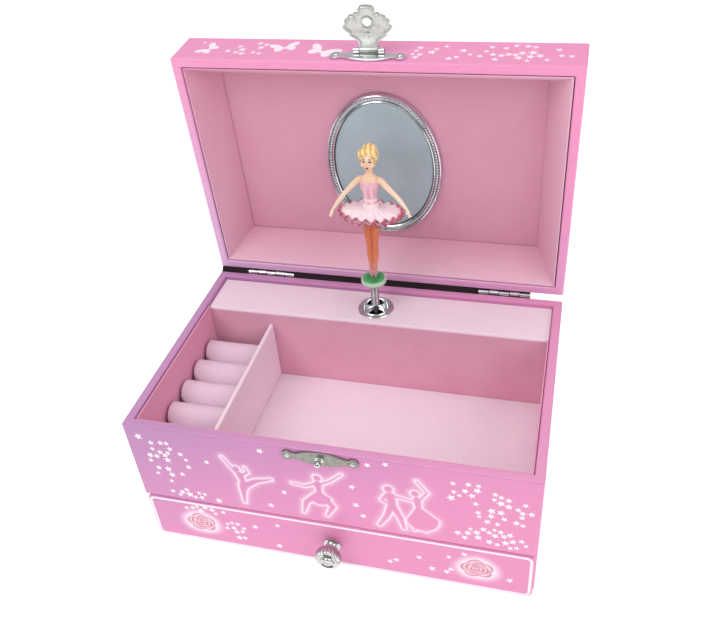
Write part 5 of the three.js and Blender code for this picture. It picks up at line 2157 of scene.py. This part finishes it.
        rings = [
            (51.0, 3.4, 2.4, 0.0), (53.2, 4.3, 3.3, -0.2), (54.6, 4.5, 3.1, 0.0),
            (56.0, 4.7, 2.6, 0.1), (57.2, 4.3, 2.2, 0.2), (58.2, 2.9, 1.9, 0.3),
            (59.0, 1.75, 1.6, 0.3), (60.6, 1.5, 1.5, 0.2), (63.4, 1.55, 1.6, 0.1),
            (64.6, 1.6, 1.7, 0.0),
        ]
        arms = [self.trunk("neck", rings)]
        for s, lift in ((-1, 1.6), (1, 5.0)):
            arms += self.limb([
                (s * 4.6, 0.1, 56.2, 1.5), (s * 6.4, 0.0, 54.6, 1.55),
                (s * 9.4, -0.4, 51.2 + lift * 0.1, 1.42),
                (s * 12.6, -0.9, 47.4 + lift * 0.3, 1.22),
                (s * 15.2, -1.6, 43.2 + lift * 0.62, 1.15),
                (s * 17.6, -2.3, 39.2 + lift * 0.9, 0.85), (s * 18.2, -2.5, 38.0 + lift, 0.72),
            ])
            palm = (s * 18.9, -2.7, 36.6 + lift)
            arms.append(self.ball(palm, (0.95, 0.62, 1.5), (0, -s * 24, 0)))
            for k, spread in enumerate((-0.55, -0.2, 0.2, 0.55)):
                arms += self.limb([
                    (s * (19.1 + spread * 0.4), -2.7 + spread * 0.6, 35.8 + lift, 0.36),
                    (s * (19.8 + spread), -2.9 + spread * 0.7, 34.1 + lift + 0.3 * (k % 2), 0.3),
                ])
            thumb = [(s * 18.4, -3.1, 37.2 + lift, 0.34), (s * 18.2, -3.6, 35.9 + lift, 0.3)]
            arms += self.limb(thumb)
        skin = Bench.melt("dancer_arms", arms, 0.26, 3)
        Bench.paint(skin, "tint", lambda p: 0.3 + 0.5 * max(0.0, (abs(p.x) - 5) / 14))
        deliver(self.stand(skin), Body.DANCER, self.finishes.skin)

    def build_head(self) -> None:
        """Moulds the head and hair and paints a calm, plain face."""
        lumps = [
            ((0, 0.2, 68.0), (4.0, 4.3, 4.4)), ((0, -0.8, 65.2), (3.2, 3.2, 3.9)),
            ((0, -1.3, 62.9), (1.9, 2.0, 1.7)), ((0, -4.25, 66.0), (0.5, 0.7, 0.95)),
            ((-1.9, -2.5, 65.0), (1.5, 1.5, 1.4)), ((1.9, -2.5, 65.0), (1.5, 1.5, 1.4)),
            ((-3.7, 0.4, 66.3), (0.45, 0.8, 1.1)), ((3.7, 0.4, 66.3), (0.45, 0.8, 1.1)),
        ]
        head = Bench.melt("dancer_head", [self.ball(*lump) for lump in lumps], 0.22, 5)

        def cheeks(p: Vector) -> float:
            """Paler on the forehead."""
            return 0.25 + 0.4 * math.exp(-(((p.z - 69) / 2.4) ** 2))

        Bench.paint(head, "tint", cheeks)
        deliver(self.stand(head), Body.DANCER, self.finishes.skin)

        eyes, lips = [], []
        for s in (-1, 1):
            eyes.append(self.ball((s * 1.5, -3.95, 67.0), (0.62, 0.32, 0.34), (0, s * 4, s * 18)))
            brow = (s * 1.55, -3.98, 68.25)
            eyes.append(self.ball(brow, (0.85, 0.22, 0.12), (0, s * 10, s * 18)))
        lips.append(self.ball((0, -4.0, 63.85), (0.8, 0.35, 0.2)))
        lips.append(self.ball((0, -3.9, 63.5), (0.6, 0.38, 0.24)))
        eyes = Bench.gather("dancer_eyes", eyes)
        lips = Bench.gather("dancer_lips", lips)
        for obj, paint in ((eyes, self.finishes.dark), (lips, self.finishes.lips)):
            Bench.smooth(obj, 80)
            deliver(self.stand(obj), Body.DANCER, paint)

        locks = [
            ((0, 1.0, 68.4), (4.5, 4.3, 4.7)), ((-1.9, -1.7, 70.5), (3.0, 2.7, 2.1), (0, -24, 0)),
            ((2.2, -1.5, 70.2), (2.6, 2.5, 2.0), (0, 24, 0)), ((0.3, 1.2, 71.6), (3.3, 3.2, 1.9)),
            ((0, 4.0, 69.6), (2.5, 2.4, 2.4)), ((-3.4, -0.9, 68.0), (1.2, 2.2, 2.4)),
            ((3.5, -0.9, 67.8), (1.1, 2.2, 2.4)),
        ]
        hair = Bench.melt("dancer_hair", [self.ball(*lock) for lock in locks], 0.24, 3)

        middle = Vector((0, 0.6, 66.9))
        for vertex in hair.data.vertices:
            x, y, z = vertex.co / MM
            away = (Vector((x, y, z)) - middle).normalized()
            groove = math.sin(2.6 * x + 1.1 * (z - 66) + 0.8 * math.sin(y)) * 0.13
            vertex.co += away * groove * MM
        # Painted highlight: paler on the ridges that the grooves push out, and the plain colour in
        # the grooves.
        Bench.paint(hair, "tint", lambda p: 0.5 + 0.5 * math.sin(2.6 * p.x + 1.1 * (p.z - 66)))
        deliver(self.stand(hair), Body.DANCER, self.finishes.hair)

    def build_skirt(self) -> None:
        """Ruffles three layers of stiff net with a coloured hem."""
        low, high = extent("dancer_tutu")
        half_x, half_y = (high.x - low.x) / 2, (high.y - low.y) / 2
        waist_x, waist_y = self.waist
        radii = (4.0, 5.2, 6.4, 7.6, 8.8, 9.4, 9.8, 10)
        layers = []
        for drop, size, phase in ((0.0, 1.0, 0.0), (1.3, 0.95, 1.4), (2.5, 0.86, 3.0)):
            sides = self.ruffles * 16
            sheet = Bench.turned("net", [(r, 0) for r in radii], sides, loop=True)
            for vertex in sheet.data.vertices:
                x, y, _ = vertex.co / MM
                reach, angle = math.hypot(x, y), math.atan2(y, x)
                share = max(0.0, (reach - 4) / 6)
                fold = math.sin(self.ruffles * angle + phase)
                crimp = math.sin(2 * self.ruffles * angle + 2.1 * phase) * 0.3
                out = 1 + 0.05 * share**2 * math.cos(self.ruffles * angle + phase)
                wide = (waist_x + (half_x * size - waist_x) * share) * out
                deep = (waist_y + (half_y * size - waist_y) * share) * out
                sag = 2.5 * share + 0.6 * math.sin(share * math.pi)
                rise = self.waist_height - drop - sag
                z = rise + (fold + crimp) * 1.25 * share**1.4
                vertex.co = Vector((math.cos(angle) * wide, math.sin(angle) * deep, z)) * MM
            Bench.modify(sheet, "SOLIDIFY", thickness=self.net * MM, offset=0)
            layers.append(sheet)
        tutu = Bench.gather("ruffled_skirt", layers)
        Bench.face_out(tutu)

        def hem(p: Vector) -> float:
            """The coloured edge of each layer."""
            share = math.hypot(p.x / half_x, p.y / half_y)
            return (share - 0.9) / 0.05 * 0.9 if p.z > 36.4 else (share - 0.76) / 0.06

        Bench.paint(tutu, "tint", hem)
        Bench.smooth(tutu, 60)
        deliver(self.stand(tutu), Body.DANCER, self.finishes.tutu, ["dancer_tutu"])


# ---------- movement
@dataclass
class Movement:
    """The wind-up movement behind the shelf's front, and the key at the back."""

    finishes: Finishes
    seed: int = 5
    teeth: int = 18
    notes: int = 9  # pins for each tooth
    pin_circle: float = 0.145  # the cylinder's radius as a share of the room under the shelf

    def build(self) -> None:
        """Makes every part of the movement."""
        brass = Slot.BRASS, self.finishes.brass
        steel = Slot.STEEL, self.finishes.steel
        for node, body, (slot, finish), edge, steps in (
            ("movement_frame", Body.CASE, brass, 0.15, 2),
            ("melody_comb", Body.CASE, steel, 0.08, 1),
            ("spring_barrel", Body.WINDER, brass, 0.1, 1),
            ("mainspring", Body.WINDER, steel, 0.06, 1),
            ("winding_arbor", Body.WINDER, steel, 0.3, 2),
            ("melody_cylinder", Body.CYLINDER, brass, 0.08, 1),
            ("governor", Body.GOVERNOR, steel, 0.08, 1),
            ("drive_spindle", Body.SPINDLE, steel, 0.08, 1),
        ):
            dress_copy(node, body, finish, edge, steps)
        self.build_pins()
        dress_copy("winding_key", Body.WINDER, self.finishes.chrome, 0.6, 4)
        self.build_screws()

    def build_pins(self) -> None:
        """Sets the tune's pins in the cylinder, in rows between the comb's teeth."""
        dice = random.Random(self.seed)
        shaft = joint_named("cylinder_turn")["pos_m"]
        comb_low, comb_high = extent("melody_comb")
        room = extent("shelf_top")[0].z - extent("compartment_floor")[1].z
        radius = self.pin_circle * room
        pin = Bench.turned("pin", [(0.16, -0.3), (0.16, 0.3), (0.1, 0.38)], 8)
        places = []
        pitch = (comb_high.x - comb_low.x) / self.teeth
        for tooth in range(self.teeth):
            x = comb_low.x + (tooth + 0.35) * pitch
            for note in range(self.notes):
                angle = 360 * (note + dice.uniform(0.1, 0.9)) / self.notes
                spin = Matrix.Rotation(math.radians(angle), 4, "X")
                where = Matrix.Translation(Vector((x * MM, shaft[1], shaft[2])))
                places.append(where @ spin @ Matrix.Translation((0, 0, radius * MM)))
        pins = Bench.smooth(Bench.scatter("cylinder_pins", pin, places), 50)
        deliver(pins, Body.CYLINDER, self.finishes.steel)

    def build_screws(self) -> None:
        """Drives the two slotted screws that hold the movement to the back."""
        back = extent("base_back")[1].y
        low, high = extent("movement_frame")
        dome = [(2.1, -0.2), (2.1, 0.25), (1.9, 0.6), (1.3, 0.95), (0.6, 1.08), (0.06, 1.1)]
        head = Bench.turned("screw", dome, 36)
        Bench.cut(head, Bench.box("slot", (-3, -0.28, 0.55), (3, 0.28, 2)))
        spots = []
        for x, z, turn in ((low.x + 3, high.z - 3, 24), (high.x - 5, low.z + 4, -50)):
            spin = Matrix.Rotation(math.radians(turn), 4, "Z")
            face = Matrix.Rotation(math.radians(-90), 4, "X")
            spots.append(Matrix.Translation(Vector((x, back, z)) * MM) @ face @ spin)
        screws = Bench.smooth(Bench.scatter("movement_screws", head, spots), 35)
        deliver(screws, Body.CASE, self.finishes.steel)


# ---------- studio
@dataclass
class Studio:
    """A pale floor, soft lights and the camera."""

    eye: Point = (0.0928, -0.2846, 0.3356)
    heading: float = -17.87
    down: float = 38.2
    roll: float = -5.44
    lens: float = 40.97
    shift: tuple[float, float] = (0.0015, 0.0117)
    sky: tuple[tuple[float, float], ...] = (
        (0.0, 0.5), (0.1, 0.08), (0.26, 0.16), (0.36, 1.0), (0.62, 1.0), (0.7, 0.4), (0.84, 1.1)
    )  # its brightness by height, from the horizon up
    sky_strength: float = 0.58
    sky_seen: float = 1.8  # the plain white that the camera sees
    floor_glow: float = 0.62

    def build(self) -> None:
        """Sets up the floor, the sky, the lights and the camera."""
        self.build_floor()
        self.build_sky()
        self.build_lamp("key_light", (-0.55, -0.75, 1.15), 0.9, 7.6)
        self.build_lamp("fill_light", (0.9, -0.45, 0.8), 0.8, 4.2)
        self.build_lamp("top_light", (0.05, 0.25, 1.3), 0.7, 3)
        self.build_camera()
        bpy.context.scene.view_settings.view_transform = "Standard"

    def build_floor(self) -> None:
        """Lays the floor."""
        Bench.clear()
        bpy.ops.mesh.primitive_plane_add(size=8, location=(0, 0, -0.0004))
        floor = bpy.context.object
        floor.name = "studio_floor"
        s = Surface("floor_paper")
        tone = s.mix(s.noise(180, 2) * 0.5, hue("E6E5E6"), hue("E2E1E2"))
        floor.data.materials.append(s.dress(
            Base_Color=tone, Roughness=0.9, Emission_Color=hue("FFFFFF"),
            Emission_Strength=self.floor_glow,
        ))

    def build_sky(self) -> None:
        """Surrounds the scene with a banded sky, plain white where the camera sees it."""
        world = bpy.data.worlds.new("studio_sky")
        bpy.context.scene.world = world
        world.use_nodes = True
        nodes = Nodes(world.node_tree)
        here = nodes.wire("ShaderNodeTexCoord", {}, {}, "Generated")
        height = nodes.wire("ShaderNodeSeparateXYZ", {}, {0: here}, "Z")
        stops = [(place, (level, level, level, 1)) for place, level in self.sky]
        bands = nodes.wire("ShaderNodeValToRGB", {"stops": stops}, {0: height})
        seen = nodes.wire("ShaderNodeLightPath", {}, {}, "Is Camera Ray")
        back = nodes.tree.nodes["Background"]
        nodes.fill(back.inputs[0], nodes.mix(seen, bands, (self.sky_seen,) * 3 + (1,)))
        nodes.fill(back.inputs[1], self.sky_strength)

    def build_lamp(self, name: str, spot: Point, size: float, watts: float) -> None:
        """Hangs a soft square lamp that faces the box.

        Args:
            name: its name.
            spot: its place, in metres.
            size: its side, in metres.
            watts: its power.
        """
        Bench.clear()
        bpy.ops.object.light_add(type="AREA", location=spot)
        lamp = bpy.context.object
        lamp.name = name
        lamp.data.size = size
        lamp.data.energy = watts
        aim = Vector((0, 0, 0.08)) - Vector(spot)
        lamp.rotation_euler = aim.to_track_quat("-Z", "Y").to_euler()

    def build_camera(self) -> None:
        """Stands the camera in front, above and to the right."""
        yaw, pitch, roll = (math.radians(a) for a in (self.heading, self.down, self.roll))
        ahead = Vector((
            math.sin(yaw) * math.cos(pitch), math.cos(yaw) * math.cos(pitch), -math.sin(pitch)
        ))
        right = Vector((math.cos(yaw), -math.sin(yaw), 0))
        above = right.cross(ahead)
        tilted = right * math.cos(roll) + above * math.sin(roll)
        crown = above * math.cos(roll) - right * math.sin(roll)
        data = bpy.data.cameras.new("camera")
        camera = bpy.data.objects.new("camera", data)
        bpy.context.scene.collection.objects.link(camera)
        basis = Matrix((tilted, crown, -ahead)).transposed().to_4x4()
        camera.matrix_world = Matrix.Translation(Vector(self.eye)) @ basis
        data.lens = self.lens
        data.shift_x, data.shift_y = self.shift
        data.clip_start = 0.01
        bpy.context.scene.camera = camera


def main() -> None:
    """Builds the studio and every sub-assembly in order."""
    logging.basicConfig(level=logging.INFO, format="%(message)s")
    finishes = Finishes()
    swing = Swing()
    Studio().build()
    Case(finishes).build()
    RingRolls(finishes).build()
    Catch(finishes).build()
    Lid(finishes, swing).build()
    Hinges(finishes, swing).build()
    Drawer(finishes).build()
    Dancer(finishes).build()
    Movement(finishes).build()


if __name__ == "__main__":
    main()
